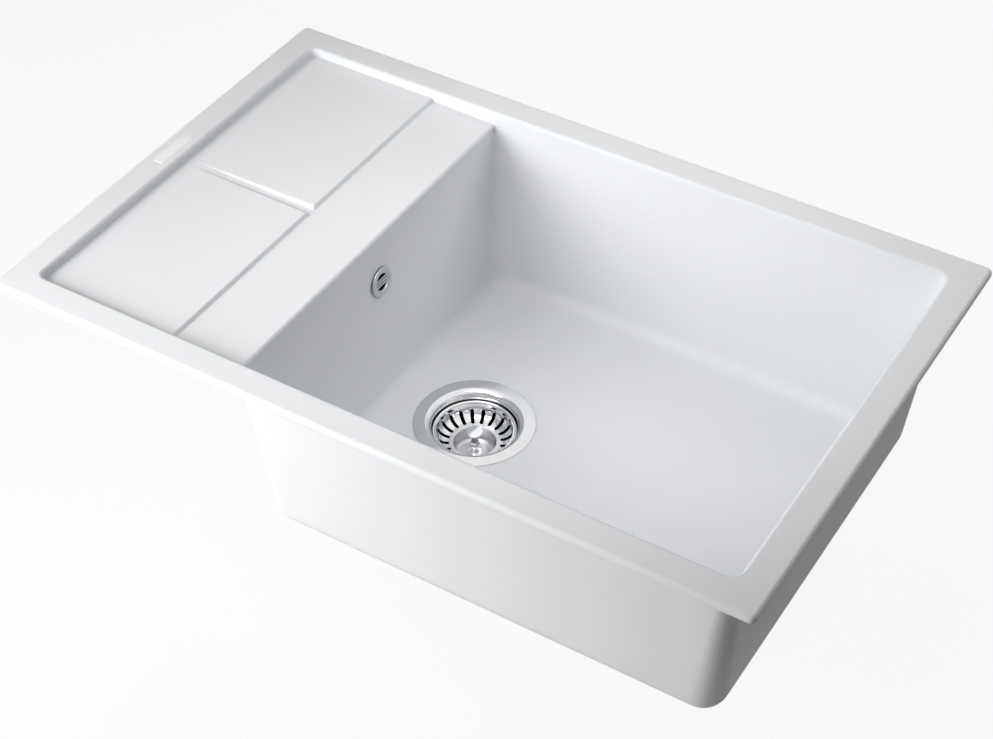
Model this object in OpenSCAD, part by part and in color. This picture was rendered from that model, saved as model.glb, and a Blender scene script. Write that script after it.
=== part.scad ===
// Kitchen sink with drainboard: one moulded composite basin, a basket strainer waste in its floor
// and an overflow in its left wall. Lengths are millimetres. Z = 0 is the top of the worktop, which
// the underside of the rim rests on. X runs along the sink, with the bowl on the right, and Y runs
// to the back.

/* [Rim] */
// Overall length of the rim
rim_l = 780; // [720:1:900]
// Overall width of the rim
rim_w = 500; // [440:1:560]
// Thickness of the rim above the worktop
rim_t = 9; // [8:0.5:14]
// Width of the flat rim, from its outer edge to the tray wall
rim_band = 31.5; // [28:0.5:45]
// Corner radius of the rim, seen from above
rim_corner = 6; // [5:0.5:20]
// Rounding of the rim's upper outer edge
rim_top_round = 4; // [1:0.5:4.5]
// Rounding of the rim's lower outer edge
rim_low_round = 3; // [1:0.5:4]
// Width of the groove for the sealing strip
groove_w = 6; // [4:0.5:7]
// Depth of the groove for the sealing strip
groove_deep = 2; // [1:0.5:3]
// Distance from the rim's outer edge to the groove
groove_inset = 5; // [4.5:0.5:9]

/* [Drainboard] */
// Corner radius of the tray at the bowl, seen from above
tray_corner = 13; // [8:0.5:20]
// Corner radius of the tray at the drainboard's end
board_corner = 8; // [6:0.5:20]
// Rounding where the rim turns down into the tray
tray_round = 4; // [1:0.5:5]
// Length of the drainboard, from the tray's left wall to the bowl
board_l = 225.5; // [180:0.5:260]
// Depth of the two flat panels below the rim
panel_deep = 9.3; // [7:0.1:10]
// Width of the lower strip beside the bowl
strip_w = 75; // [50:1:90]
// Depth of the strip below the rim at the foot of the step
strip_deep = 12.6; // [11:0.1:14]
// Further fall of the strip to the bowl's edge
strip_fall = 1.6; // [0.5:0.1:3]
// Run of the soft step between panels and strip
step_run = 3.2; // [1:0.1:6]
// Width of the flat bottom of the channel between the panels
channel_w = 7; // [4:0.5:16]
// Width of each of its sloping sides, where it is deepest
channel_side = 4; // [1:0.5:6]
// Length of the channel, which deepens towards the strip
channel_l = 142; // [60:1:142]
// Thickness of the moulding under the tray
board_t = 8; // [6:0.5:12]

/* [Bowl] */
// Depth of the bowl below the rim
bowl_deep = 200; // [170:1:230]
// Thickness of the walls of bowl and tray
bowl_wall = 5; // [4.5:0.5:12]
// Thickness of the bowl's floor
bowl_floor = 6; // [5:0.5:14]
// Lean of the bowl's walls, in degrees
draft = 4.4; // [2:0.1:6]
// Radius of the fillet between walls and floor
floor_fillet = 13; // [11:0.5:18]
// Corner radius of the bowl at its floor
floor_corner = 20; // [19:1:40]
// Corner radius of the bowl's outside, under the rim
bowl_corner = 17; // [14:1:30]
// Rounding of the bowl's outer lower edges
under_round = 25; // [18:1:27]
// Rounding of the edge between strip and bowl
edge_round = 3.5; // [1:0.5:5]

/* [Drain] */
// Distance from the bowl's left edge to the middle of the drain
drain_in = 110.1; // [100:0.1:150]
// Depth of the step in the floor that takes the flange
seat_deep = 1.5; // [1:0.1:2.5]

/* [Flange] */
// Inner radius of the flange's neck
neck_r = 43.2; // [40:0.1:46]
// Radius of the rolled lip
lip_r = 7; // [4:0.5:8]
// Width of the flat ring round the rolled lip
flange_band = 11.1; // [8:0.1:14]
// Thickness of the flange's sheet
flange_t = 1.2; // [0.8:0.1:1.5]
// Depth of the ledge below the top of the flange
ledge_deep = 13.2; // [12:0.1:15]
// Width of the ledge that the basket's rim sits on
ledge_w = 3; // [2.2:0.1:3.3]
// Depth of the well's floor below the top of the flange
well_deep = 48.3; // [48.3:0.1:52]
// Radius between the well's wall and floor
well_round = 7; // [4:0.5:10]
// Radius of the port in the well's floor
port_r = 19; // [17:0.5:21]
// Depth of the hub below the well's floor
hub_drop = 8; // [7:0.5:9]
// Radius of the hub under the port
hub_r = 9; // [8:0.5:10]
// Number of spokes that carry the hub
spokes = 4; // [3:1:6]
// Width of one spoke
spoke_w = 5; // [3:0.5:8]

/* [Basket] */
// Gap between the basket's rim and the neck
basket_gap = 0.6; // [0.6:0.1:1.2]
// Width of the basket's rim, from its rolled edge to the wall
basket_rim_w = 4; // [3.5:0.1:5]
// Radius of the rolled edge of the basket's rim
roll_r = 1.4; // [0.9:0.1:1.5]
// Thickness of the basket's sheet
basket_t = 0.8; // [0.5:0.1:1]
// Radius of the curve that carries the slots
bowl_curve_r = 12; // [9:0.5:13]
// Depth of the upper wall, from the rim to that curve
wall_deep = 3.7; // [2:0.1:5]
// Inner radius of the basket's cup
cup_r = 21.4; // [18:0.1:23]
// Depth of the cup
cup_deep = 17; // [14:0.5:20]
// Radius between the cup's wall and floor
cup_round = 5; // [2:0.5:8]
// Number of slots
slots = 20; // [12:1:24]
// Width of one slot
slot_w = 3.4; // [2:0.1:4]
// Distance of the slots from the foot of their curve
slot_foot_gap = 1; // [0.5:0.1:3]
// Distance of the slots from the wall above their curve
slot_wall_gap = 2; // [1.8:0.1:5]

/* [Knob] */
// Height of the knob
knob_h = 31.5; // [26:0.5:36]
// Radius of the knob's head
knob_head_r = 8.3; // [6:0.1:10]
// Radius of the knob's foot
knob_foot_r = 7.8; // [6:0.1:10]
// Thickness of the knob's foot
knob_foot_t = 3; // [2:0.5:5]
// Radius of the bead on the knob's stem
knob_bead_r = 5.2; // [4:0.1:6]
// Radius of the knob's stem
knob_stem_r = 3.4; // [3:0.1:4]
// Radius of the post that the knob turns on
post_r = 2.5; // [2:0.1:2.7]
// Radius of the rubber stopper
stopper_r = 24.5; // [23:0.5:27]
// Thickness of the rubber stopper
stopper_t = 3; // [2:0.5:4]
// Radius of the washer under the stopper
washer_r = 11; // [8:0.5:14]
// Thickness of the washer under the stopper
washer_t = 1; // [0.5:0.1:1.5]
// Radius of the tip that finds the centre screw
tip_r = 2; // [1.5:0.1:2.2]

/* [Waste] */
// Width of the waste body's top flange, outside its cup
body_flange_w = 6.3; // [4.3:0.1:12.3]
// Thickness of the waste body's top flange
body_flange_t = 4; // [3:0.5:6]
// Thickness of the waste body's plastic
body_t = 3; // [2.5:0.1:4]
// Depth of the waste body's cup below the basin
cup_drop = 61; // [57:1:70]
// Depth of the cone under that cup
cone_drop = 11; // [8:1:16]
// Length of the outlet under the cone
outlet_l = 24; // [20:1:34]
// Outer radius of the outlet's thread, one and a half inch pipe
outlet_r = 23.9; // [22:0.1:25]
// Thickness of the outlet's threaded wall
outlet_t = 4; // [3:0.5:5]
// Thickness of the gaskets under flange and basin
gasket_t = 3; // [2:0.5:4]
// Radius of the centre screw
screw_r = 4; // [3.5:0.1:4.4]
// Radius of the centre screw's head
screw_head_r = 7.5; // [6:0.5:8]
// Height of the centre screw's head
screw_head_t = 4; // [3:0.5:4.5]
// Radius of the brass insert that the screw turns into
insert_r = 6.5; // [6:0.5:8]
// Length of the brass insert
insert_l = 11; // [8:1:14]

/* [Overflow] */
// Depth of the overflow's centre below the rim
overflow_deep = 64.3; // [50:0.1:80]
// Radius of the rosette
rosette_r = 15.7; // [13:0.1:18]
// Thickness of the rosette's edge
rosette_t = 1.8; // [1.2:0.1:2.5]
// Radius of the dished middle of the rosette
rosette_dish_r = 11.2; // [10.5:0.1:12]
// Height of the bar across the rosette
bar_h = 9; // [5:0.1:9.5]
// Radius of the rosette's threaded tube
tube_r = 10.2; // [9.5:0.1:10.5]
// Thickness of that tube's wall
tube_t = 1.2; // [0.8:0.1:2]
// Radius of the overflow hole in the basin
overflow_hole_r = 11.5; // [11:0.1:13]
// Radius of the overflow housing's flange
housing_flange_r = 19; // [17:0.5:22]
// Length of the overflow housing behind the wall
housing_l = 29; // [27:1:34]
// Outer radius of the overflow pipe
pipe_r = 10; // [9:0.1:10]
// Thickness of the pipe's wall
pipe_t = 1.6; // [1.2:0.1:2]
// Bend radius of the pipe
bend_r = 26; // [20:1:34]
// Length of the spigots that take the pipe
spigot_l = 24; // [20:1:30]
// Outer radius of the coupling nuts
nut_r = 17; // [16:0.5:18]
// Length of the coupling nuts
nut_l = 15; // [12:1:18]
// Depth of the pipe's level run below the basin
inlet_drop = 41; // [37:1:47]

/* [Badge] */
// Length of the bare badge plate
badge_l = 50; // [30:1:70]
// Width of the bare badge plate
badge_w = 11.5; // [8:0.5:14]
// Thickness of the bare badge plate
badge_t = 0.6; // [0.4:0.1:0.8]
// Distance from the rim's left edge to the middle of the badge
badge_inset = 16.8; // [14:0.1:20]

/* [Hidden] */

$fn = 96;
hull_fn = 32;       // facets of the rounds inside a hull
over = 1;           // overrun of every cut
fit_gap = 0.3;      // gap between pieces that move on each other
run_gap = 0.05;     // radial gap of a shaft that turns in its bore
touch_gap = 0.1;    // gap between parts that are clamped but not bonded
composite = [0.89, 0.9, 0.91];
steel = [0.78, 0.79, 0.8];
chrome = [0.9, 0.9, 0.92];
rubber = [0.12, 0.12, 0.12];
plastic = [0.93, 0.93, 0.91];
brass = [0.78, 0.62, 0.3];

// levels and places of the basin
tray_x = rim_l/2 - rim_band;
tray_y = rim_w/2 - rim_band;
bowl_x = board_l - tray_x;
step_x = bowl_x - strip_w;
panel_z = rim_t - panel_deep;
strip_z = rim_t - strip_deep;
drain_x = bowl_x + drain_in;
edge_z = rim_t - strip_deep - strip_fall;
floor_z = rim_t - bowl_deep;
under_z = floor_z - bowl_floor;
board_low = edge_z - board_t;

// levels of the strainer, from the seat in the floor upwards and downwards
seat_z = floor_z - seat_deep;
sheet_gasket_t = 1;                         // gasket between flange and seat
gasket_inset = 1;                           // how far a gasket stays inside its flange's edge
flange_z = seat_z + sheet_gasket_t + flange_t;
lip_x = neck_r + lip_r;                     // centre of the rolled lip
flange_r = lip_x + flange_band;
well_r = neck_r - ledge_w;
drain_r = neck_r + flange_t + sheet_gasket_t;
drain_round = lip_r - flange_t - sheet_gasket_t;
well_z = flange_z - well_deep;
hub_z = well_z - hub_drop;
ledge_z = flange_z - ledge_deep;
basket_r = neck_r - basket_gap;
basket_wall_r = basket_r - basket_rim_w;
rim_roll_z = ledge_z + fit_gap + roll_r;    // centre of the basket's rolled edge
curve_z = rim_roll_z - wall_deep;           // centre of the slotted curve
curve_x = basket_wall_r - bowl_curve_r;
shelf_z = curve_z - bowl_curve_r;           // flat shelf round the cup
cup_z = shelf_z - cup_deep;                 // inside of the cup's floor
stopper_z = cup_z - basket_t - stopper_t;
washer_z = stopper_z - washer_t;
collar_t = 2.6;                             // shoulder on the post under the washer
collar_r = 5;
tip_l = 8;
post_up = 8;                                // how far the post reaches into the knob
screw_low = 30;                             // reach of the screw under the hub
screw_spare = 1;                            // room left under the screw's end
driver_w = 1;                               // width and depth of the slot in its head
knob_edge = 1;                              // rounding of the knob's foot and head
stopper_edge = 0.75;                        // step that stands for the stopper's rounded edge

// levels of the waste body
body_z = under_z - gasket_t;
body_in_r = neck_r + flange_t + fit_gap;
body_out_r = body_in_r + body_t;
body_flange_r = body_out_r + body_flange_w;
body_cup_z = under_z - cup_drop;
cone_z = body_cup_z - cone_drop;
outlet_z = cone_z - outlet_l;
outlet_in_r = outlet_r - outlet_t;
arms = 3;                                   // ribs that hold the insert
arm_t = 3;                                  // their thickness
insert_z = hub_z - screw_low - screw_spare;
sleeve_r = insert_r + body_t/2;             // plastic round the brass insert

// places of the overflow
hole_z = rim_t - overflow_deep;
hole_x = bowl_x + (edge_z - hole_z)*tan(draft);
wall_t = (bowl_wall + edge_z*tan(draft))*cos(draft);
rosette_washer_t = 0.8;
overflow_gasket_t = 2;
bar_groove_w = 1.1;                         // width of each groove along the bar
housing_t = 2.4;                            // plastic of the housing
housing_r = tube_r + fit_gap + housing_t;
housing_x = wall_t + fit_gap + overflow_gasket_t;
pipe_x = hole_x - (housing_x + housing_l - housing_r)*cos(draft);
pipe_top = hole_z - (housing_x + housing_l - housing_r)*sin(draft);
inlet_z = under_z - inlet_drop;
inlet_x = drain_x - body_out_r;
spigot_r = pipe_r + touch_gap + housing_t;
seal_t = 3;                                 // squeezed length of a coupling seal
lip_t = 2.5;                                // end wall of a coupling nut
grips = 12;                                 // hollows round a coupling nut
grip_deep = 1.2;                            // depth of each hollow
socket_l = 12;                              // how far the pipe goes into a spigot

// distance from a leaning wall's top line to the centre of a round that touches it lower down
function hug(r, fall) = (r + fall*sin(draft))/cos(draft);

// rounded rectangle from true arcs, with its own corner radius at the left end
module rounded_plan(lx, ly, r, left_r) {
    translate([left_r - lx/2, -ly/2]) square([lx - left_r - r, ly]);
    translate([-lx/2, left_r - ly/2]) square([lx/2, ly - 2*left_r]);
    translate([0, r - ly/2]) square([lx/2, ly - 2*r]);
    for (side = [-1, 1]) {
        translate([left_r - lx/2, side*(ly/2 - left_r)]) circle(left_r);
        translate([lx/2 - r, side*(ly/2 - r)]) circle(r);
    }
}

// section of the waste that rounding an edge removes, its corner pointing up and outwards
module round_section(r) {
    difference() {
        square(r + over);
        circle(r);
    }
}

// sweeps a section along the outline of such a rectangle: x is outwards, y is upwards
module sweep_plan(lx, ly, r, left_r) {
    translate([lx/2, 0, 0]) rotate([90, 0, 0]) linear_extrude(ly - 2*r, center = true) children();
    translate([-lx/2, 0, 0]) rotate([90, 0, 180]) linear_extrude(ly - 2*left_r, center = true) children();
    for (side = [0, 1]) mirror([0, side, 0]) {
        translate([(left_r - r)/2, ly/2, 0]) rotate([90, 0, 90])
            linear_extrude(lx - left_r - r, center = true) children();
        translate([lx/2 - r, ly/2 - r, 0]) rotate_extrude(angle = 90) translate([r, 0]) children();
        translate([left_r - lx/2, ly/2 - left_r, 0]) rotate(90)
            rotate_extrude(angle = 90) translate([left_r, 0]) children();
    }
}

// puck with a filleted lower edge
module fillet_puck(r, f) {
    rotate_extrude($fn = hull_fn) {
        square([r - f, f]);
        translate([r - f, f]) intersection() {
            circle(f);
            translate([0, -f]) square(f);
        }
    }
}

// quarter of a bent sheet, from the outside radius inwards
module quarter_sheet(r, t, turn) {
    rotate(turn) intersection() {
        difference() {
            circle(r);
            circle(r - t);
        }
        square(r);
    }
}

// ring with a rectangular section, standing on z
module ring(r_out, r_in, h) {
    difference() {
        cylinder(r = r_out, h = h);
        translate([0, 0, -over]) cylinder(r = r_in, h = h + 2*over);
    }
}

// puts children on the drain's axis
module at_drain(z = 0) {
    translate([drain_x, 0, z]) children();
}

// puts children on the overflow's axis, with z pointing into the bowl from the wall's face
module at_overflow(out = 0) {
    translate([hole_x, 0, hole_z]) rotate([0, 90 - draft, 0]) translate([0, 0, out]) children();
}

module bowl_outside() {
    top_x = bowl_corner - bowl_wall;
    low_x = hug(under_round, -under_z - under_round) - bowl_wall;
    hull() for (side = [-1, 1]) {
        for (x = [bowl_x + top_x, tray_x - top_x])
            translate([x, side*(tray_y - top_x), 0])
                cylinder(r = bowl_corner, h = over, $fn = hull_fn);
        for (x = [bowl_x + low_x, tray_x - low_x])
            translate([x, side*(tray_y - low_x), under_z + under_round])
                sphere(r = under_round, $fn = hull_fn);
    }
}

module bowl_inside() {
    low_x = hug(floor_fillet, edge_z - floor_z - floor_fillet) + floor_corner - floor_fillet;
    hull() for (side = [-1, 1]) {
        translate([bowl_x + board_corner, side*(tray_y - board_corner), edge_z])
            cylinder(r = board_corner, h = over, $fn = hull_fn);
        translate([tray_x - tray_corner, side*(tray_y - tray_corner), edge_z])
            cylinder(r = tray_corner, h = over, $fn = hull_fn);
        for (x = [bowl_x + low_x, tray_x - low_x])
            translate([x, side*(tray_y - low_x), floor_z]) fillet_puck(floor_corner, floor_fillet);
    }
}

// the tray over drainboard and bowl, with the fall of panels, step and strip
module tray_hollow() {
    high = rim_t + over;
    intersection() {
        translate([0, 0, edge_z]) linear_extrude(high - edge_z)
            rounded_plan(2*tray_x, 2*tray_y, tray_corner, board_corner);
        union() {
            rotate([90, 0, 0]) linear_extrude(rim_w, center = true) polygon([
                [-tray_x - over, high],
                [-tray_x - over, panel_z],
                [step_x - step_run/2, panel_z],
                [step_x + step_run/2, strip_z],
                [bowl_x, edge_z],
                [tray_x + over, edge_z],
                [tray_x + over, high]
            ]);
            channel();
        }
    }
}

// the channel between the panels: its bottom falls from their level to the strip's, so it grows
// wider as it grows deeper
module channel() {
    run = channel_l + step_run/2;
    fall = panel_z - strip_z;
    half = channel_w/2;
    slope = channel_side/fall;
    translate([step_x - channel_l, 0, panel_z]) rotate([0, atan(fall/run), 0]) rotate([90, 0, 90])
        translate([0, 0, -over]) linear_extrude(norm([run, fall]) + over) polygon([
            [-half, 0],
            [half, 0],
            [half + slope*(fall + over), fall + over],
            [-half - slope*(fall + over), fall + over]
        ]);
}

module sink_basin() {
    board_in = tray_x + bowl_wall;
    board_out = bowl_x + bowl_corner;
    board_r = board_corner + bowl_wall;
    color(composite) difference() {
        union() {
            linear_extrude(rim_t) rounded_plan(rim_l, rim_w, rim_corner, rim_corner);
            translate([(board_out - board_in)/2, 0, board_low]) linear_extrude(-board_low)
                rounded_plan(board_out + board_in, 2*(tray_y + bowl_wall), board_r, board_r);
            bowl_outside();
        }
        tray_hollow();
        bowl_inside();
        translate([bowl_x - edge_round, 0, edge_z - edge_round]) rotate([90, 0, 0])
            linear_extrude(2*(tray_y - board_corner), center = true) round_section(edge_round);
        sweep_plan(rim_l, rim_w, rim_corner, rim_corner)
            translate([-rim_top_round, rim_t - rim_top_round]) round_section(rim_top_round);
        sweep_plan(rim_l, rim_w, rim_corner, rim_corner)
            translate([-rim_low_round, rim_low_round]) mirror([0, 1]) round_section(rim_low_round);
        sweep_plan(2*tray_x, 2*tray_y, tray_corner, board_corner)
            translate([tray_round, rim_t - tray_round]) mirror([1, 0]) round_section(tray_round);
        at_drain(under_z - over) cylinder(r = drain_r, h = bowl_floor + 2*over);
        at_drain(seat_z - drain_round) rotate_extrude()
            translate([drain_r + drain_round, 0]) mirror([1, 0]) round_section(drain_round);
        at_drain(seat_z) cylinder(r = flange_r + fit_gap, h = seat_deep + over);
        at_overflow(-2*bowl_wall) cylinder(r = overflow_hole_r, h = 3*bowl_wall);
        translate([0, 0, -over]) seal_loop(groove_deep + over, 0);
        translate([badge_inset - rim_l/2, 0, rim_t - badge_t/2]) linear_extrude(badge_t)
            square([badge_w + touch_gap, badge_l + touch_gap], center = true);
    }
}

// the closed loop that groove and sealing strip share
module seal_loop(h, slack) {
    out = 2*(groove_inset + slack);
    in = 2*(groove_inset + groove_w - slack);
    linear_extrude(h) difference() {
        rounded_plan(rim_l - out, rim_w - out, rim_corner, rim_corner);
        rounded_plan(rim_l - in, rim_w - in, rim_corner/2, rim_corner/2);
    }
}

module rim_seal() {
    color(rubber) translate([0, 0, touch_gap]) seal_loop(groove_deep - touch_gap, touch_gap);
}

module badge_plate() {
    color(steel) translate([badge_inset - rim_l/2, 0, rim_t - badge_t/2]) linear_extrude(badge_t)
        square([badge_w, badge_l], center = true);
}

// half section of the strainer flange: flat ring, rolled lip, neck, ledge, well and port
module flange_section() {
    neck_top = flange_z - lip_r;
    foot_x = well_r - well_round;
    foot_z = well_z + well_round;
    translate([lip_x, flange_z - flange_t]) square([flange_r - lip_x, flange_t]);
    translate([lip_x, neck_top]) quarter_sheet(lip_r, flange_t, 90);
    translate([neck_r, ledge_z - flange_t]) square([flange_t, neck_top - ledge_z + flange_t]);
    translate([well_r, ledge_z - flange_t]) square([neck_r - well_r + flange_t, flange_t]);
    translate([well_r, foot_z]) square([flange_t, ledge_z - foot_z]);
    translate([foot_x, foot_z]) quarter_sheet(well_round + flange_t, flange_t, -90);
    translate([port_r, well_z - flange_t]) square([foot_x - port_r, flange_t]);
}

module strainer_flange() {
    color(steel) at_drain() {
        rotate_extrude() flange_section();
        // the spoked cone that carries the hub for the centre screw
        difference() {
            rotate_extrude() polygon([
                [port_r, well_z], [port_r + flange_t, well_z - flange_t],
                [hub_r, hub_z - flange_t], [screw_r + fit_gap, hub_z - flange_t],
                [screw_r + fit_gap, hub_z], [hub_r - flange_t/2, hub_z]
            ]);
            for (i = [0 : spokes - 1]) rotate(360*(i + 1/2)/spokes) difference() {
                translate([hub_r + flange_t, -port_r, hub_z - over])
                    cube([port_r, 2*port_r, hub_drop + over - flange_t]);
                for (side = [-1, 1]) rotate(side*180/spokes)
                    translate([0, -spoke_w/2, hub_z - 2*over])
                        cube([2*port_r, spoke_w, hub_drop + 2*over]);
                translate([0, 0, hub_z - 2*over])
                    ring(2*port_r, port_r - flange_t, hub_drop + 4*over);
            }
        }
    }
}

module flange_gasket() {
    color(rubber) at_drain(seat_z) ring(flange_r - gasket_inset, lip_x, sheet_gasket_t);
}

// half section of the basket: rolled edge, ledge, wall, slotted curve, shelf and cup
module basket_section() {
    roll_x = basket_r - roll_r;
    cup_foot_x = cup_r - cup_round;
    cup_foot_z = cup_z + cup_round;
    translate([roll_x, rim_roll_z]) circle(roll_r);
    translate([basket_wall_r, rim_roll_z - basket_t/2]) square([roll_x - basket_wall_r, basket_t]);
    translate([basket_wall_r, curve_z]) square([basket_t, wall_deep + basket_t/2]);
    translate([curve_x, curve_z]) quarter_sheet(bowl_curve_r + basket_t, basket_t, -90);
    translate([cup_r, shelf_z - basket_t]) square([curve_x - cup_r, basket_t]);
    translate([cup_r, cup_foot_z]) square([basket_t, shelf_z - cup_foot_z]);
    translate([cup_foot_x, cup_foot_z]) quarter_sheet(cup_round + basket_t, basket_t, -90);
    translate([post_r + run_gap, cup_z - basket_t]) square([cup_foot_x - post_r - run_gap, basket_t]);
}

module strainer_basket() {
    slot_x = curve_x + slot_foot_gap;
    slot_l = basket_wall_r - slot_wall_gap - slot_x;
    color(chrome) at_drain() difference() {
        rotate_extrude() basket_section();
        for (i = [0 : slots - 1]) rotate(360*i/slots)
            translate([slot_x, 0, shelf_z - basket_t - over])
                linear_extrude(curve_z - shelf_z + basket_t) {
                    translate([0, -slot_w/2]) square([slot_l, slot_w]);
                    circle(slot_w/2);
                    translate([slot_l, 0]) circle(slot_w/2);
                }
    }
}

// half section of the knob: foot, stem, bead, neck and flared head, from its foot upwards
module knob_section() {
    bead_share = 0.43;
    flare_share = 0.75;
    head_share = 0.94;
    square([knob_foot_r - knob_edge, knob_foot_t]);
    square([knob_foot_r, knob_foot_t - knob_edge]);
    translate([knob_foot_r - knob_edge, knob_foot_t - knob_edge]) circle(knob_edge);
    square([knob_stem_r, flare_share*knob_h]);
    translate([0, bead_share*knob_h]) intersection() {
        circle(knob_bead_r);
        translate([0, -knob_bead_r]) square([knob_bead_r, 2*knob_bead_r]);
    }
    polygon([
        [0, flare_share*knob_h], [knob_stem_r, flare_share*knob_h],
        [knob_head_r, head_share*knob_h], [knob_head_r, knob_h - knob_edge/2],
        [knob_head_r - knob_edge/2, knob_h], [0, knob_h]
    ]);
}

module basket_knob() {
    color(chrome) at_drain(cup_z) difference() {
        rotate_extrude() knob_section();
        translate([0, 0, -over]) cylinder(r = post_r + run_gap, h = post_up + over + fit_gap);
    }
}

module basket_stopper() {
    color(rubber) at_drain() difference() {
        rotate_extrude() {
            translate([0, stopper_z]) square([stopper_r, stopper_t - fit_gap - stopper_edge]);
            translate([0, stopper_z]) square([stopper_r - stopper_edge, stopper_t - fit_gap]);
        }
        translate([0, 0, stopper_z - over]) cylinder(r = post_r + run_gap, h = stopper_t + 2*over);
    }
}

module stopper_washer() {
    color(steel) at_drain(washer_z) ring(washer_r, post_r + run_gap, washer_t);
}

// the post: it carries washer, stopper and knob, and its tip finds the hollow centre screw
module locating_pin() {
    color(steel) at_drain() {
        translate([0, 0, washer_z]) cylinder(r = post_r, h = cup_z + post_up - washer_z);
        translate([0, 0, washer_z - collar_t]) cylinder(r = collar_r, h = collar_t, $fn = 6);
        translate([0, 0, washer_z - collar_t - tip_l]) cylinder(r = tip_r, h = tip_l);
    }
}

module centre_screw() {
    bore_r = tip_r + fit_gap;
    color(steel) at_drain() difference() {
        union() {
            translate([0, 0, hub_z]) cylinder(r = screw_head_r, h = screw_head_t);
            translate([0, 0, hub_z - screw_low]) cylinder(r = screw_r, h = screw_low);
        }
        translate([0, 0, washer_z - collar_t - tip_l - fit_gap])
            cylinder(r = bore_r, h = tip_l + 2*screw_head_t);
        translate([-screw_head_r, -driver_w/2, hub_z + screw_head_t - driver_w])
            cube([2*screw_head_r, driver_w, 2*driver_w]);
    }
}

module waste_body() {
    color(plastic) at_drain() difference() {
        union() {
            translate([0, 0, body_z - body_flange_t]) cylinder(r = body_flange_r, h = body_flange_t);
            translate([0, 0, body_cup_z]) cylinder(r = body_out_r, h = body_z - body_cup_z);
            translate([0, 0, cone_z]) cylinder(r1 = outlet_r, r2 = body_out_r, h = cone_drop);
            translate([0, 0, outlet_z]) cylinder(r = outlet_r, h = outlet_l);
            translate([-body_out_r - spigot_l, 0, inlet_z]) rotate([0, 90, 0])
                cylinder(r = spigot_r, h = spigot_l + body_t);
        }
        translate([0, 0, body_cup_z]) cylinder(r = body_in_r, h = cup_drop);
        translate([0, 0, cone_z]) cylinder(r1 = outlet_in_r, r2 = body_in_r, h = cone_drop);
        outlet_space();
        translate([-body_out_r - spigot_l - over, 0, inlet_z]) rotate([0, 90, 0]) {
            cylinder(r = pipe_r + touch_gap, h = socket_l + over);
            cylinder(r = pipe_r - pipe_t, h = spigot_l + 2*body_t + over);
        }
        translate([0, 0, insert_z]) cylinder(r = insert_r, h = 2*cone_drop);
    }
}

// the room inside the outlet, round the ribs and the sleeve that hold the brass insert
module outlet_space() {
    rib_l = insert_l + arm_t;
    difference() {
        translate([0, 0, outlet_z - over]) cylinder(r = outlet_in_r, h = outlet_l + 2*over);
        translate([0, 0, insert_z - arm_t]) cylinder(r = sleeve_r, h = rib_l);
        for (i = [0 : arms - 1]) rotate(360*i/arms) translate([0, -arm_t/2, insert_z - arm_t])
            cube([outlet_r, arm_t, rib_l]);
    }
}

module waste_gasket() {
    color(rubber) at_drain(body_z) ring(body_flange_r, drain_r, gasket_t);
}

module screw_insert() {
    color(brass) at_drain(insert_z) ring(insert_r, screw_r, insert_l);
}

module overflow_rosette() {
    tube_back = housing_x + housing_l/3;
    dish = rosette_t/2;
    color(chrome) at_overflow(touch_gap + rosette_washer_t) difference() {
        union() {
            cylinder(r1 = rosette_r, r2 = rosette_r - rosette_t/2, h = rosette_t);
            translate([0, 0, -tube_back]) cylinder(r = tube_r, h = tube_back + dish);
        }
        translate([0, 0, dish]) cylinder(r1 = rosette_dish_r - dish, r2 = rosette_dish_r, h = rosette_t);
        difference() {
            translate([0, 0, -tube_back - over])
                cylinder(r = tube_r - tube_t, h = tube_back + rosette_t + over);
            translate([-bar_h/2, -tube_r, -tube_t]) cube([bar_h, 2*tube_r, tube_t + dish]);
        }
        for (side = [-1, 1])
            translate([side*bar_h/5 - bar_groove_w/2, -tube_r, dish - bar_groove_w/2])
                cube([bar_groove_w, 2*tube_r, bar_groove_w]);
    }
}

module rosette_washer() {
    color(rubber) at_overflow(touch_gap) ring(rosette_r - gasket_inset, tube_r + run_gap, rosette_washer_t);
}

module overflow_gasket() {
    color(rubber) at_overflow(-housing_x) ring(housing_flange_r, tube_r + fit_gap, overflow_gasket_t);
}

module overflow_housing() {
    color(plastic) difference() {
        union() {
            at_overflow(-housing_x - body_t) cylinder(r = housing_flange_r, h = body_t);
            at_overflow(-housing_x - housing_l) cylinder(r = housing_r, h = housing_l);
            translate([pipe_x, 0, pipe_top - housing_r - spigot_l])
                cylinder(r = spigot_r, h = housing_r + spigot_l);
        }
        at_overflow(-housing_x - housing_l + housing_t) cylinder(r = tube_r + touch_gap, h = housing_l);
        translate([pipe_x, 0, pipe_top - housing_r - spigot_l - over]) {
            cylinder(r = pipe_r + touch_gap, h = socket_l + over);
            cylinder(r = pipe_r - pipe_t, h = housing_r + spigot_l + over);
        }
    }
}

// the pipe's run: down behind the bowl, round one bend and level to the waste body
module pipe_run(r, extra) {
    top = pipe_top - housing_r - spigot_l + socket_l - touch_gap;
    end = inlet_x - spigot_l + socket_l - touch_gap;
    translate([pipe_x, 0, inlet_z + bend_r]) cylinder(r = r, h = top - inlet_z - bend_r + extra);
    translate([pipe_x + bend_r, 0, inlet_z]) rotate([0, 90, 0])
        cylinder(r = r, h = end - pipe_x - bend_r + extra);
    translate([pipe_x + bend_r, 0, inlet_z + bend_r]) rotate([90, 0, 0]) rotate([0, 0, 180])
        rotate_extrude(angle = 90) translate([bend_r, 0]) circle(r);
}

module overflow_pipe() {
    color(plastic) difference() {
        pipe_run(pipe_r, 0);
        pipe_run(pipe_r - pipe_t, over);
    }
}

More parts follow.
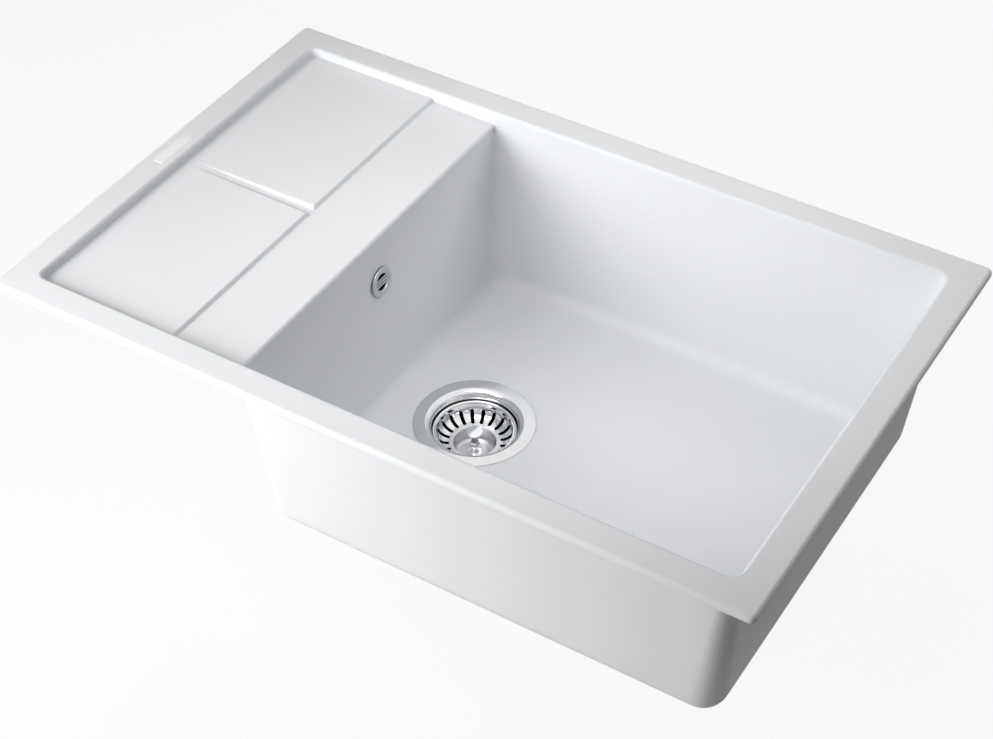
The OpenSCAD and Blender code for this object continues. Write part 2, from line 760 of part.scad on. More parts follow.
// places children at both couplings, with z pointing from the pipe into the spigot's mouth
module at_couplings() {
    translate([pipe_x, 0, pipe_top - housing_r - spigot_l]) children();
    translate([inlet_x - spigot_l, 0, inlet_z]) rotate([0, 90, 0]) children();
}

module coupling_nuts() {
    color(plastic) at_couplings() difference() {
        translate([0, 0, -seal_t - lip_t]) cylinder(r = nut_r, h = nut_l);
        translate([0, 0, -seal_t]) cylinder(r = spigot_r + touch_gap, h = nut_l);
        translate([0, 0, -seal_t - lip_t - over]) cylinder(r = pipe_r + touch_gap, h = nut_l);
        for (i = [0 : grips - 1]) rotate(360*(i + 1/2)/grips)
            translate([nut_r + grip_deep, 0, -seal_t - lip_t - over])
                cylinder(r = 2*grip_deep, h = nut_l + 2*over);
    }
}

module coupling_seals() {
    color(rubber) at_couplings() translate([0, 0, -seal_t + touch_gap])
        ring(spigot_r, pipe_r + touch_gap/2, seal_t - 2*touch_gap);
}

sink_basin();
badge_plate();
rim_seal();
strainer_flange();
flange_gasket();
strainer_basket();
basket_knob();
basket_stopper();
stopper_washer();
locating_pin();
centre_screw();
waste_body();
waste_gasket();
screw_insert();
overflow_rosette();
rosette_washer();
overflow_gasket();
overflow_housing();
overflow_pipe();
coupling_nuts();
coupling_seals();
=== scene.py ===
# %% [markdown]
# # A composite kitchen sink, dressed in Blender
# The frame comes first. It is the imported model: every node sits where the construction put it, in
# metres, and each body already moves with its joint. Whatever is made here only adds to it. The sizes
# in this lesson are read as millimetres, because that is how such a sink is drawn, and every mesh is
# scaled to metres when it is finished.

# %% Load the frame
import math
import bpy
import bmesh
from mathutils import Matrix, Vector


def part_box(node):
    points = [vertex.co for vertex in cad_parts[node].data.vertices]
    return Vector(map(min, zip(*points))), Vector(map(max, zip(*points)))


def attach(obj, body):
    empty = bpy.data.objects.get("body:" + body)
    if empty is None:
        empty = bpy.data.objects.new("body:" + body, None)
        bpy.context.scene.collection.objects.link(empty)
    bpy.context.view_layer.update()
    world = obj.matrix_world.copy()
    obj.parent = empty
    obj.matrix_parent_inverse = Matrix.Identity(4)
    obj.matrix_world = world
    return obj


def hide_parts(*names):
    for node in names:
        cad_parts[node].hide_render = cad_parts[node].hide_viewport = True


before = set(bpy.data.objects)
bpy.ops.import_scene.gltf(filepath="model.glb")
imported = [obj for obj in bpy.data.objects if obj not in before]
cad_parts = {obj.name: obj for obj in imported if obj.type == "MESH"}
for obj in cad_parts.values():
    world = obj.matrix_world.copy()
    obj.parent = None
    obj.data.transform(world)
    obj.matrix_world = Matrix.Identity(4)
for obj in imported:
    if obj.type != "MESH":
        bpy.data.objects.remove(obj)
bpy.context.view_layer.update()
MM = 0.001


def span(node):
    """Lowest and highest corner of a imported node, in millimetres."""
    low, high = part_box(node)
    return low / MM, high / MM


# %% [markdown]
# The camera is set up early, because every look at the work goes through it. Its place came from
# fitting a plain box model of the sink to the edges in the photograph: it stands to the front right,
# looks down at a bit over forty degrees, and uses a long lens, so the rim's lines stay almost parallel.

# %% Camera
AZIMUTH = math.radians(31.45)
ELEVATION = math.radians(42.43)
CAMERA_AT = Vector((0.76802, -1.25158, 1.23311))
cam_data = bpy.data.cameras.new("camera")
cam_data.sensor_width = 36.0
cam_data.lens = 75.085
cam_data.clip_end = 20.0
camera = bpy.data.objects.new("camera", cam_data)
bpy.context.collection.objects.link(camera)
camera.location = CAMERA_AT
camera.rotation_euler = (math.pi / 2 - ELEVATION, 0.0, AZIMUTH)
bpy.context.scene.camera = camera
print("camera at", tuple(CAMERA_AT))

# %% [markdown]
# ## The moulding
# The real basin is cast in one piece: quartz sand in resin, poured into a closed mould. So it has no
# sharp corner anywhere, its walls lean a few degrees so that it comes out of the mould, and the
# corners of the bowl grow rounder towards the floor. A box cut with booleans and then bevelled would
# be quick, but its rounds would be uneven where three of them meet. A stack of rounded rectangles,
# each extruded from the one before, keeps every round true and every face a neat quad.

# %% Sizes of the basin
basin_low, basin_high = span("sink_basin")
flange_low, flange_high = span("strainer_flange")
RIM_X, RIM_Y, RIM_T = basin_high
UNDER_Z = basin_low.z
RIM_CORNER, RIM_TOP_R, RIM_LOW_R = 6.0, 4.0, 3.0
TRAY_X, TRAY_Y = RIM_X - 31.5, RIM_Y - 31.5
TRAY_LEFT_R, TRAY_RIGHT_R, TRAY_ROUND = 8.0, 13.0, 4.0
PANEL_Z, STEP_Z, EDGE_Z = RIM_T - 9.3, RIM_T - 12.6, RIM_T - 14.2
BOWL_X = 225.5 - TRAY_X
STEP_X, STEP_RUN = BOWL_X - 75.0, 3.6
FLOOR_Z = RIM_T - 200.0
LEAN = math.radians(4.4)
WALL, BOARD_T = 5.0, 8.0
DRAIN_X = (flange_low.x + flange_high.x) / 2
print(f"tray {2 * TRAY_X:.1f} x {2 * TRAY_Y:.1f} mm, drain at {DRAIN_X:.1f} mm")

# %% [markdown]
# Three helpers carry the whole moulding. The first lays a chain of vertices, open or closed. The
# second extrudes such a chain and puts the new vertices on the next outline, which makes one band of
# quads. The third finishes a mesh: it merges what coincides, turns the faces outwards and scales to
# metres. Sheets that end on the same points are simply merged, so each can be built on its own.

# %% Chains, extrusions and the finished mesh
def chain(bm, points, closed=True):
    """Vertices at the points, joined by edges."""
    verts = [bm.verts.new(p) for p in points]
    followers = verts[1:] + verts[:1] if closed else verts[1:]
    for a, b in zip(verts, followers):
        bm.edges.new((a, b))
    return verts


def extend(bm, verts, points, closed=True):
    """Extrudes a chain and moves the new vertices to the points."""
    followers = verts[1:] + verts[:1] if closed else verts[1:]
    edges = [bm.edges.get(pair) for pair in zip(verts, followers)]
    made = bmesh.ops.extrude_edge_only(bm, edges=edges)["geom"]
    fresh = {v for v in made if isinstance(v, bmesh.types.BMVert)}
    twins = []
    for old, point in zip(verts, points):
        twin = next(e.other_vert(old) for e in old.link_edges if e.other_vert(old) in fresh)
        twin.co = point
        twins.append(twin)
    return twins


def finish(bm, name, body, material, nodes=(), sharp=40.0, smooth=True):
    """Closes a bmesh made in millimetres into an object in metres that rides on a body."""
    bmesh.ops.remove_doubles(bm, verts=bm.verts, dist=0.002)
    bmesh.ops.recalc_face_normals(bm, faces=bm.faces)
    bmesh.ops.scale(bm, vec=(MM, MM, MM), verts=bm.verts)
    open_edges = sum(1 for e in bm.edges if not e.is_manifold)
    mesh = bpy.data.meshes.new(name)
    bm.to_mesh(mesh)
    bm.free()
    for polygon in mesh.polygons:
        polygon.use_smooth = smooth
    mesh.set_sharp_from_angle(angle=math.radians(sharp))
    mesh.materials.append(material)
    piece = bpy.data.objects.new(name, mesh)
    bpy.context.collection.objects.link(piece)
    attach(piece, body)
    if nodes:
        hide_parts(*nodes)
    print(f"{name}: {len(mesh.polygons)} faces, {open_edges} open edges")
    return piece


def weigh_normals(piece):
    """Lets the large flat faces keep their own direction beside the rounds."""
    modifier = piece.modifiers.new("weighted_normals", "WEIGHTED_NORMAL")
    modifier.keep_sharp = True
    modifier.weight = 100


# %% [markdown]
# A rounded rectangle is four straight sides and four arcs. The straight sides carry vertices at fixed
# lines, so the step of the drainboard, the channel, the bowl's edge and the overflow all fall on
# vertices that already exist. Every outline has the same number of points in the same order.

# %% Lines across the sink
ARC = 8
WINDOW = 20.0
CHANNEL_Y = 1.4
channel_lines = [0.0, 2.2, 3.4, 4.2, 4.9, 5.5, 6.1, 6.7, 7.4, 8.4, 10.5]
y_half = [CHANNEL_Y + d for d in channel_lines] + [14.0, WINDOW, 30.0, 50.0, 80.0, 110.0, 140.0, 165.0, 182.0]
y_other = [CHANNEL_Y - d for d in channel_lines[1:]] + [-12.0, -WINDOW] + [-y for y in y_half[-7:]]
Y_LINES = sorted(set(y_half + y_other))
BOARD_XS = [-350.5, -348.0, -340.0, -325.0, -300.0, -275.0, -250.0, -232.0, -220.0, -213.0]
BOARD_XS += [STEP_X + STEP_RUN * share for share in (-0.75, -0.5, -0.35, -0.2, -0.07, 0.07, 0.2, 0.35, 0.5, 0.75)]
BOARD_XS += [-202.0, -195.0, -180.0, -165.0, -152.0, -146.0, -141.0, -138.0]
BOWL_XS = [-88.0, -60.0, -20.0, 30.0, 80.0, 130.0, 180.0, 230.0, 270.0, 300.0, 316.0]


def arc(cx, cy, r, start, steps=ARC):
    """Points of a quarter circle, counter-clockwise from the start angle in degrees."""
    angles = [math.radians(start + 90.0 * i / steps) for i in range(steps + 1)]
    return [(cx + r * math.cos(a), cy + r * math.sin(a)) for a in angles]


def spread(end):
    """The lines across, with the outer ones moved so that they end at plus and minus end."""
    last = Y_LINES[-1]
    out = []
    for y in Y_LINES:
        far = WINDOW + (abs(y) - WINDOW) * (end - WINDOW) / (last - WINDOW)
        out.append(y if abs(y) <= WINDOW else math.copysign(far, y))
    return out


def outline(x0, x1, y1, left_r, right_r, xs):
    """Rounded rectangle, counter-clockwise from the right end of its back side."""
    back = [(x, y1) for x in reversed(xs)]
    left = [(x0, y) for y in reversed(spread(y1 - left_r))]
    front = [(x, -y1) for x in xs]
    right = [(x1, y) for y in spread(y1 - right_r)]
    left_turns = arc(x0 + left_r, y1 - left_r, left_r, 90), arc(x0 + left_r, left_r - y1, left_r, 180)
    right_turns = arc(x1 - right_r, right_r - y1, right_r, 270), arc(x1 - right_r, y1 - right_r, right_r, 0)
    return back + left_turns[0] + left + left_turns[1] + front + right_turns[0] + right + right_turns[1]


def at(points, z):
    """The points at one height."""
    return [(x, y, z) for x, y in points]


print("lines across:", len(Y_LINES), "lines along:", len(BOARD_XS) + len(BOWL_XS))

# %% [markdown]
# The edge between drainboard and bowl is a round that touches both the strip and the leaning wall. Its
# rows come from the tangent circle, and they serve twice: as rows of the drainboard's floor and as
# lines on the tray's front and back walls.

# %% The round between strip and bowl
EDGE_R = 3.5
EDGE_STEPS = 6
edge_x = BOWL_X - EDGE_R * (1 - math.sin(LEAN)) / math.cos(LEAN)
edge_rows = []
for i in range(1, EDGE_STEPS + 1):
    turn = (math.pi / 2 - LEAN) * i / EDGE_STEPS
    edge_rows.append((edge_x + EDGE_R * math.sin(turn), EDGE_Z - EDGE_R + EDGE_R * math.cos(turn)))
BOWL_TOP_Z = edge_rows[-1][1]
BOARD_XS = BOARD_XS + [edge_x]
TRAY_XS = BOARD_XS + [x for x, z in edge_rows] + BOWL_XS


def lean_in(z):
    """How far the bowl's walls have come in at a height."""
    return max(0.0, (EDGE_Z - z) * math.tan(LEAN))


print(f"the edge turns from x {edge_x:.2f} to {edge_rows[-1][0]:.2f} mm")

# %% [markdown]
# The drainboard has two flat panels, a channel between them that deepens from nothing at its left end,
# a soft step, and a strip that falls gently towards the bowl. All of it is one height function, so the
# corners where the channel runs out over the step blend by themselves.

# %% Height of the drainboard
CHANNEL_START = -350.0
CHANNEL_HALF = (4.6, 7.3)
CHANNEL_SIDE = (1.2, 5.4)


def ease(t):
    """Goes from 0 to 1 with a soft start and end."""
    t = min(max(t, 0.0), 1.0)
    return t * t * (3 - 2 * t)


def board_height(x, y):
    """Height of the drainboard's surface."""
    fall = ease((x - STEP_X) / STEP_RUN + 0.5)
    t = min(max((x - CHANNEL_START) / (STEP_X - CHANNEL_START), 0.0), 1.0)
    half = CHANNEL_HALF[0] + (CHANNEL_HALF[1] - CHANNEL_HALF[0]) * t
    side = CHANNEL_SIDE[0] + (CHANNEL_SIDE[1] - CHANNEL_SIDE[0]) * t
    in_channel = t * ease((half - abs(y - CHANNEL_Y)) / side)
    drop = (PANEL_Z - STEP_Z) * (1 - (1 - fall) * (1 - in_channel))
    slope = max(0.0, (x - STEP_X) / (edge_x - STEP_X))
    return PANEL_Z - drop - (STEP_Z - EDGE_Z) * slope


print(f"panel {PANEL_Z:.1f}, strip {board_height(-200.0, 0):.2f} to {board_height(edge_x, 0):.2f} mm")

# %% [markdown]
# Now the rim. Its loops start under the sink, go round the sealing groove, up the outer edge with its
# two rounds, across the flat rim and over the round into the tray.

# %% Rim, from the underside to the tray wall
ROUND_STEPS = 6
bm = bmesh.new()
slab_x, slab_y = TRAY_X + WALL, TRAY_Y + WALL
SLAB_LOW = EDGE_Z - BOARD_T
OUT_CORNER, OUT_LOW_R = 17.0, 25.0
slab_corner = TRAY_LEFT_R + WALL


def out_lean(z):
    """How far the outside walls have come in at a height."""
    return -z * math.tan(LEAN)


def rim_loop(inset, z, corner=None):
    """Loop round the rim, a distance inside its outer edge."""
    r = RIM_CORNER - inset if corner is None else corner
    return at(outline(inset - RIM_X, RIM_X - inset, RIM_Y - inset, r, r, TRAY_XS), z)


def tray_loop(out, z):
    """Loop round the tray, a distance outside its wall."""
    return at(outline(-TRAY_X - out, TRAY_X + out, TRAY_Y + out, TRAY_LEFT_R + out, TRAY_RIGHT_R + out, TRAY_XS), z)


bowl_left_at_slab = BOWL_X - WALL + out_lean(SLAB_LOW)
OUT_XS = BOARD_XS + [x for x, z in edge_rows[:-1]] + [bowl_left_at_slab + OUT_CORNER] + BOWL_XS
slab_top = at(outline(-slab_x, slab_x, slab_y, slab_corner, OUT_CORNER, OUT_XS), 0.0)
loop = chain(bm, slab_top)
for inset, z, corner in ((11.0, 0.0, 3.0), (11.0, 2.0, 3.0), (5.0, 2.0, 6.0), (5.0, 0.0, 6.0)):
    loop = extend(bm, loop, rim_loop(inset, z, corner))
for i in range(ROUND_STEPS + 1):
    turn = math.pi / 2 * i / ROUND_STEPS
    loop = extend(bm, loop, rim_loop(RIM_LOW_R * (1 - math.sin(turn)), RIM_LOW_R * (1 - math.cos(turn))))
for i in range(ROUND_STEPS + 1):
    turn = math.pi / 2 * i / ROUND_STEPS
    z = RIM_T - RIM_TOP_R * (1 - math.sin(turn))
    loop = extend(bm, loop, rim_loop(RIM_TOP_R * (1 - math.cos(turn)), z))
for i in range(ROUND_STEPS + 1):
    turn = math.pi / 2 * i / ROUND_STEPS
    z = RIM_T - TRAY_ROUND * (1 - math.cos(turn))
    loop = extend(bm, loop, tray_loop(TRAY_ROUND * (1 - math.sin(turn)), z))
rim_edge_loop = loop
print("vertices so far:", len(bm.verts))

# %% [markdown]
# The tray's wall ends on a small fillet at the drainboard's foot. The fillet fades out towards the
# bowl, where the wall runs straight on into the bowl's own wall. Each point of the wall's foot is
# therefore worked out from where it stands along the sink.

# %% Foot of the tray wall and its fillet
FOOT_R = 0.8
FOOT_STEPS = 4
edge_z_at = {round(x, 6): z for x, z in edge_rows}


def foot_radius(x):
    """Radius of the fillet at the drainboard's foot, fading out towards the bowl."""
    return FOOT_R * (1 - ease((x - (edge_x - 22.0)) / 22.0))


def foot_loop(turn):
    """The whole tray outline on the fillet, at a turn from 0 on the wall to a right angle on the floor."""
    wide = outline(-TRAY_X + FOOT_R * (1 - math.cos(turn)), TRAY_X, TRAY_Y - FOOT_R * (1 - math.cos(turn)),
                   TRAY_LEFT_R - FOOT_R * (1 - math.cos(turn)), TRAY_RIGHT_R, TRAY_XS)
    nip = lean_in(BOWL_TOP_Z)
    low = outline(-TRAY_X, TRAY_X - nip, TRAY_Y - nip, TRAY_LEFT_R, TRAY_RIGHT_R, TRAY_XS)
    out = []
    for (x, y), (low_x, low_y) in zip(wide, low):
        key = round(x, 6)
        if x <= edge_x + MM:
            r = foot_radius(x)
            if x >= BOARD_XS[0]:
                y = math.copysign(TRAY_Y - r * (1 - math.cos(turn)), y)
            out.append((x, y, board_height(x, 2 * WINDOW) + r * (1 - math.sin(turn))))
        elif key in edge_z_at:
            z = edge_z_at[key]
            out.append((x, math.copysign(TRAY_Y - lean_in(z), y), z))
        else:
            out.append((low_x, low_y, BOWL_TOP_Z))
    return out


first_back = sum(1 for x in TRAY_XS if x > edge_x + MM)
last_front = len(TRAY_XS) + 2 * (ARC + 1) + len(Y_LINES) + len(BOARD_XS)
foot = extend(bm, rim_edge_loop, foot_loop(0.0))
strip = foot[first_back:last_front]
for i in range(1, FOOT_STEPS + 1):
    points = foot_loop(math.pi / 2 * i / FOOT_STEPS)[first_back:last_front]
    strip = extend(bm, strip, points, closed=False)
print("foot chain:", len(strip), "vertices")

# %% [markdown]
# The drainboard's floor is swept from left to right: one chain of vertices across the sink, extruded
# from line to line along it, then round the edge and down to the bowl's top. A second, short sweep
# reaches the tray's left end. The two corner patches left there are flat and are filled at the end.

# %% Floor of the drainboard
def floor_row(x, z=None):
    """Points across the drainboard, from its front foot to its back foot."""
    side = TRAY_Y - (foot_radius(x) if z is None else lean_in(z))
    inner = TRAY_Y - TRAY_LEFT_R
    share = (x - BOARD_XS[0]) / (edge_rows[-1][0] - BOARD_XS[0])
    ys = spread(inner + (side - inner) * share)
    ys = [-side] + ys + [side]
    return [(x, y, board_height(x, y) if z is None else z) for y in ys]


row = chain(bm, floor_row(BOARD_XS[0]), closed=False)
left_row = row
for x in BOARD_XS[1:]:
    row = extend(bm, row, floor_row(x), closed=False)
for x, z in edge_rows:
    row = extend(bm, row, floor_row(x, z), closed=False)
left_points = [(FOOT_R - TRAY_X, v.co.y, PANEL_Z) for v in left_row[1:-1]]
extend(bm, left_row[1:-1], left_points, closed=False)
print("floor rows:", len(BOARD_XS) + len(edge_rows))

# %% [markdown]
# The bowl is a stack of closed outlines. At the top its two left corners are square, because there the
# drainboard's edge meets the tray walls, and they grow round quickly on the way down. The last loops
# turn through the fillet onto the floor.

# %% Inside of the bowl
FLOOR_FILLET = 13.0
FLOOR_CORNER = 20.0
FILLET_STEPS = 8
rosette_z = RIM_T - 64.3
fillet_z = FLOOR_Z + FLOOR_FILLET
wall_foot_z = fillet_z - FLOOR_FILLET * math.sin(LEAN)
fillet_in = lean_in(wall_foot_z) + FLOOR_FILLET * math.cos(LEAN)
CORNER_START = 4.0


def bowl_loop(inset, z, left_r, right_r):
    """Loop on the bowl's inside."""
    return at(outline(BOWL_X + inset, TRAY_X - inset, TRAY_Y - inset, left_r, right_r, BOWL_XS), z)


def corner_radii(z):
    """Radii of the bowl's left and right corners at a height."""
    t = (BOWL_TOP_Z - z) / (BOWL_TOP_Z - wall_foot_z)
    left = CORNER_START + (FLOOR_CORNER - CORNER_START) * t
    return left * min(1.0, t * 25.0), TRAY_RIGHT_R + (FLOOR_CORNER - TRAY_RIGHT_R) * t


loop = chain(bm, bowl_loop(lean_in(BOWL_TOP_Z), BOWL_TOP_Z, *corner_radii(BOWL_TOP_Z)))
wall_levels = [-11.0, -16.0, -24.0, rosette_z + WINDOW, rosette_z, rosette_z - WINDOW, -95.0, -120.0, -145.0, -165.0]
for z in wall_levels + [wall_foot_z]:
    loop = extend(bm, loop, bowl_loop(lean_in(z), z, *corner_radii(z)))
for i in range(1, FILLET_STEPS + 1):
    turn = LEAN + (math.pi / 2 - LEAN) * i / FILLET_STEPS
    inset = fillet_in - FLOOR_FILLET * math.cos(turn)
    r = FLOOR_CORNER - (inset - lean_in(wall_foot_z))
    loop = extend(bm, loop, bowl_loop(inset, fillet_z - FLOOR_FILLET * math.sin(turn), r, r))
print(f"bowl floor {2 * (TRAY_Y - fillet_in):.0f} mm wide")

# %% [markdown]
# Outside, the moulding is plainer: the slab under the drainboard, and the bowl's own walls with a very
# round lower edge, which gives the resin an even thickness round the floor's corner.

# %% Outside of the basin
OUT_STEPS = 10
slab_in = out_lean(SLAB_LOW)
loop = chain(bm, slab_top)
slab_edge = at(outline(slab_in - slab_x, slab_x - slab_in, slab_y - slab_in, slab_corner - slab_in,
                       OUT_CORNER, OUT_XS), SLAB_LOW)
extend(bm, loop, slab_edge)
out_centre_z = UNDER_Z + OUT_LOW_R
out_foot_z = out_centre_z - OUT_LOW_R * math.sin(LEAN)
out_centre_in = out_lean(out_foot_z) + OUT_LOW_R * math.cos(LEAN)


def out_loop(inset, z, r):
    """Loop on the bowl's outside."""
    return at(outline(BOWL_X - WALL + inset, slab_x - inset, slab_y - inset, r, r, BOWL_XS), z)


loop = chain(bm, out_loop(slab_in, SLAB_LOW, OUT_CORNER))
for z in (-24.0, rosette_z + WINDOW, rosette_z, rosette_z - WINDOW, -110.0, -140.0, out_foot_z):
    r = OUT_CORNER + (OUT_LOW_R - OUT_CORNER) * (SLAB_LOW - z) / (SLAB_LOW - out_foot_z)
    loop = extend(bm, loop, out_loop(out_lean(z), z, r))
for i in range(1, OUT_STEPS + 1):
    turn = LEAN + (math.pi / 2 - LEAN) * i / OUT_STEPS
    inset = out_centre_in - OUT_LOW_R * math.cos(turn)
    z = out_centre_z - OUT_LOW_R * math.sin(turn)
    loop = extend(bm, loop, out_loop(inset, z, max(out_centre_in - inset, MM)))
print(f"underside at {loop[0].co.z:.1f} mm")

# %% [markdown]
# The drain hole and the overflow hole are chains of circles. The drain has a shallow seat for the
# strainer's flange and a rounded edge below it. The overflow's tube runs square to the leaning wall,
# so a square of wall faces on each side is taken out first and filled again round the tube's circle.

# %% Drain seat and overflow hole
CIRCLE = 96
SEAT_DEEP, SEAT_R = 1.5, flange_high.x - DRAIN_X + 0.3
HOLE_R, HOLE_ROUND = 45.4, 4.8
OVERFLOW_R = 11.5
overflow_at = Vector((BOWL_X + lean_in(rosette_z), 0.0, rosette_z))
overflow_out = Vector((math.cos(LEAN), 0.0, math.sin(LEAN)))
overflow_up = Vector((-math.sin(LEAN), 0.0, math.cos(LEAN)))
wall_through = (WALL + EDGE_Z * math.tan(LEAN)) * math.cos(LEAN)


def drain_circle(r, z):
    """Circle round the drain's axis."""
    turns = [2 * math.pi * i / CIRCLE for i in range(CIRCLE)]
    return [(DRAIN_X + r * math.cos(a), r * math.sin(a), z) for a in turns]


def overflow_circle(r, depth, count=48):
    """Circle round the overflow's axis, a depth behind the bowl's wall."""
    turns = [2 * math.pi * i / count for i in range(count)]
    centre = overflow_at - overflow_out * depth
    return [centre + r * (Vector((0, 1, 0)) * math.cos(a) + overflow_up * math.sin(a)) for a in turns]


def is_window(face):
    """True for a wall face inside the square that makes room for the overflow."""
    return all(abs(v.co.y) < WINDOW + MM and abs(v.co.z - rosette_z) < WINDOW + MM
               and abs(v.co.x - BOWL_X) < 2 * WALL for v in face.verts)


window_faces = [f for f in bm.faces if is_window(f)]
print("faces taken out for the overflow:", len(window_faces))
bmesh.ops.delete(bm, geom=window_faces, context="FACES")
loop = chain(bm, drain_circle(SEAT_R, FLOOR_Z))
loop = extend(bm, loop, drain_circle(SEAT_R, FLOOR_Z - SEAT_DEEP))
for i in range(ROUND_STEPS + 1):
    turn = math.pi / 2 * i / ROUND_STEPS
    r = HOLE_R + HOLE_ROUND * (1 - math.sin(turn))
    loop = extend(bm, loop, drain_circle(r, FLOOR_Z - SEAT_DEEP - HOLE_ROUND * (1 - math.cos(turn))))
extend(bm, loop, drain_circle(HOLE_R, UNDER_Z))
loop = chain(bm, overflow_circle(OVERFLOW_R, 0.0))
extend(bm, loop, overflow_circle(OVERFLOW_R, wall_through))
print(f"overflow at x {overflow_at.x:.2f}, z {overflow_at.z:.2f} mm")

# %% [markdown]
# What is left are flat areas with holes in them: the bowl's floor round the seat, the underside, the
# slab's underside, the two windows round the overflow and the two corner patches. Filling works on
# boundary edges, so the sheets are merged first.

# %% Merge the sheets and fill the flat areas
bmesh.ops.remove_doubles(bm, verts=bm.verts, dist=0.002)


def fill_where(test):
    """Fills the open flat area whose boundary edges pass the test."""
    edges = [e for e in bm.edges if e.is_boundary and all(test(v.co) for v in e.verts)]
    made = bmesh.ops.triangle_fill(bm, edges=edges, use_beauty=True)["geom"]
    return sum(1 for g in made if isinstance(g, bmesh.types.BMFace))


NEAR = 0.01
filled = {
    "bowl floor": fill_where(lambda p: abs(p.z - FLOOR_Z) < NEAR),
    "underside": fill_where(lambda p: abs(p.z - UNDER_Z) < NEAR),
    "slab": fill_where(lambda p: abs(p.z - SLAB_LOW) < NEAR),
    "corners": fill_where(lambda p: abs(p.z - PANEL_Z) < NEAR and p.x < BOARD_XS[0] + NEAR),
}
between = (overflow_at.x + overflow_at.x - wall_through) / 2
for name, low_x, high_x in (("inner", between, between + WALL), ("outer", between - WALL, between)):
    filled[name] = fill_where(lambda p: low_x < p.x < high_x and abs(p.z - rosette_z) < WINDOW + NEAR
                              and abs(p.y) < WINDOW + NEAR)
print("filled:", filled)

# %% [markdown]
# ## Finishes
# The composite is quartz sand held in a near-white resin. From a step away it looks like one matte
# pale tone; from close by it has a very fine grain, a few darker specks, and a skin that feels like
# eggshell. A plain white would look like paint, so grain, specks and skin come from one node group that
# other cast pieces can share. The group gives a colour, a roughness and a height, and the surface
# shader itself stays in the material.

# %% A group for cast grain
def new_group(name, inputs, outputs):
    """Node group with named sockets. Returns the group, its input node and its output node."""
    group = bpy.data.node_groups.new(name, "ShaderNodeTree")
    for title, kind, value in inputs:
        socket = group.interface.new_socket(name=title, in_out="INPUT", socket_type=kind)
        socket.default_value = value
    for title, kind in outputs:
        group.interface.new_socket(name=title, in_out="OUTPUT", socket_type=kind)
    return group, group.nodes.new("NodeGroupInput"), group.nodes.new("NodeGroupOutput")


def ramp(tree, stops, source):
    """Colour ramp fed by a value; each stop is a place and a grey or a colour."""
    node = tree.nodes.new("ShaderNodeValToRGB")
    while len(node.color_ramp.elements) < len(stops):
        node.color_ramp.elements.new(0.5)
    for element, (place, tone) in zip(node.color_ramp.elements, stops):
        element.position = place
        element.color = (tone, tone, tone, 1) if isinstance(tone, float) else (*tone, 1)
    tree.links.new(source, node.inputs["Fac"])
    return node.outputs["Color"]


def noise(tree, vector, scale, detail=2.0, rough=0.5):
    """Noise texture on a vector."""
    node = tree.nodes.new("ShaderNodeTexNoise")
    node.inputs["Scale"].default_value = scale
    node.inputs["Detail"].default_value = detail
    node.inputs["Roughness"].default_value = rough
    tree.links.new(vector, node.inputs["Vector"])
    return node.outputs["Fac"]


def mix(tree, kind, factor, a, b):
    """Mixes two colours. Any of the three may be a socket or a plain value."""
    node = tree.nodes.new("ShaderNodeMix")
    node.data_type = "RGBA"
    node.blend_type = kind
    for socket, value in ((node.inputs["Factor"], factor), (node.inputs["A"], a), (node.inputs["B"], b)):
        if isinstance(value, bpy.types.NodeSocket):
            tree.links.new(value, socket)
        else:
            socket.default_value = value if isinstance(value, float) else (*value, 1)
    return node.outputs["Result"]


def grain_group():
    """Fine sand grain with sparse specks, for cast and moulded pieces."""
    group, source, target = new_group(
        "cast_grain",
        [("Tone", "NodeSocketColor", (0.8, 0.8, 0.8, 1)), ("Speck", "NodeSocketColor", (0.4, 0.4, 0.4, 1)),
         ("Specks", "NodeSocketFloat", 0.3)],
        [("Color", "NodeSocketColor"), ("Roughness", "NodeSocketFloat"), ("Height", "NodeSocketFloat")])
    where = group.nodes.new("ShaderNodeTexCoord").outputs["Object"]
    fine = noise(group, where, 1400.0, 3.0, 0.7)
    broad = noise(group, where, 9.0, 2.0)
    cells = group.nodes.new("ShaderNodeTexVoronoi")
    cells.inputs["Scale"].default_value = 520.0
    group.links.new(where, cells.inputs["Vector"])
    dots = ramp(group, ((0.10, 1.0), (0.20, 0.0)), cells.outputs["Distance"])
    few = ramp(group, ((0.62, 0.0), (0.66, 1.0)), cells.outputs["Color"])
    both = mix(group, "MULTIPLY", 1.0, dots, few)
    share = group.nodes.new("ShaderNodeMath")
    share.operation = "MULTIPLY"
    group.links.new(both, share.inputs[0])
    group.links.new(source.outputs["Specks"], share.inputs[1])
    sandy = ramp(group, ((0.25, 0.955), (0.75, 1.0)), fine)
    clouded = ramp(group, ((0.3, 0.985), (0.7, 1.0)), broad)
    tone = mix(group, "MULTIPLY", 1.0, source.outputs["Tone"], sandy)
    tone = mix(group, "MULTIPLY", 1.0, tone, clouded)
    tone = mix(group, "MIX", share.outputs[0], tone, source.outputs["Speck"])
    group.links.new(tone, target.inputs["Color"])
    group.links.new(ramp(group, ((0.3, 0.44), (0.7, 0.54)), fine), target.inputs["Roughness"])
    group.links.new(mix(group, "MIX", 0.35, fine, broad), target.inputs["Height"])
    return group


cast_grain = grain_group()
print("group sockets:", [s.name for s in cast_grain.interface.items_tree])

# %% Materials made from it
def new_material(name, roughness=0.5, metallic=0.0, color=(0.8, 0.8, 0.8)):
    """Material with a plain surface shader. Returns the material, its tree and the shader."""
    material = bpy.data.materials.new(name)
    material.use_nodes = True
    shader = material.node_tree.nodes["Principled BSDF"]
    shader.inputs["Base Color"].default_value = (*color, 1)
    shader.inputs["Roughness"].default_value = roughness
    shader.inputs["Metallic"].default_value = metallic
    return material, material.node_tree, shader


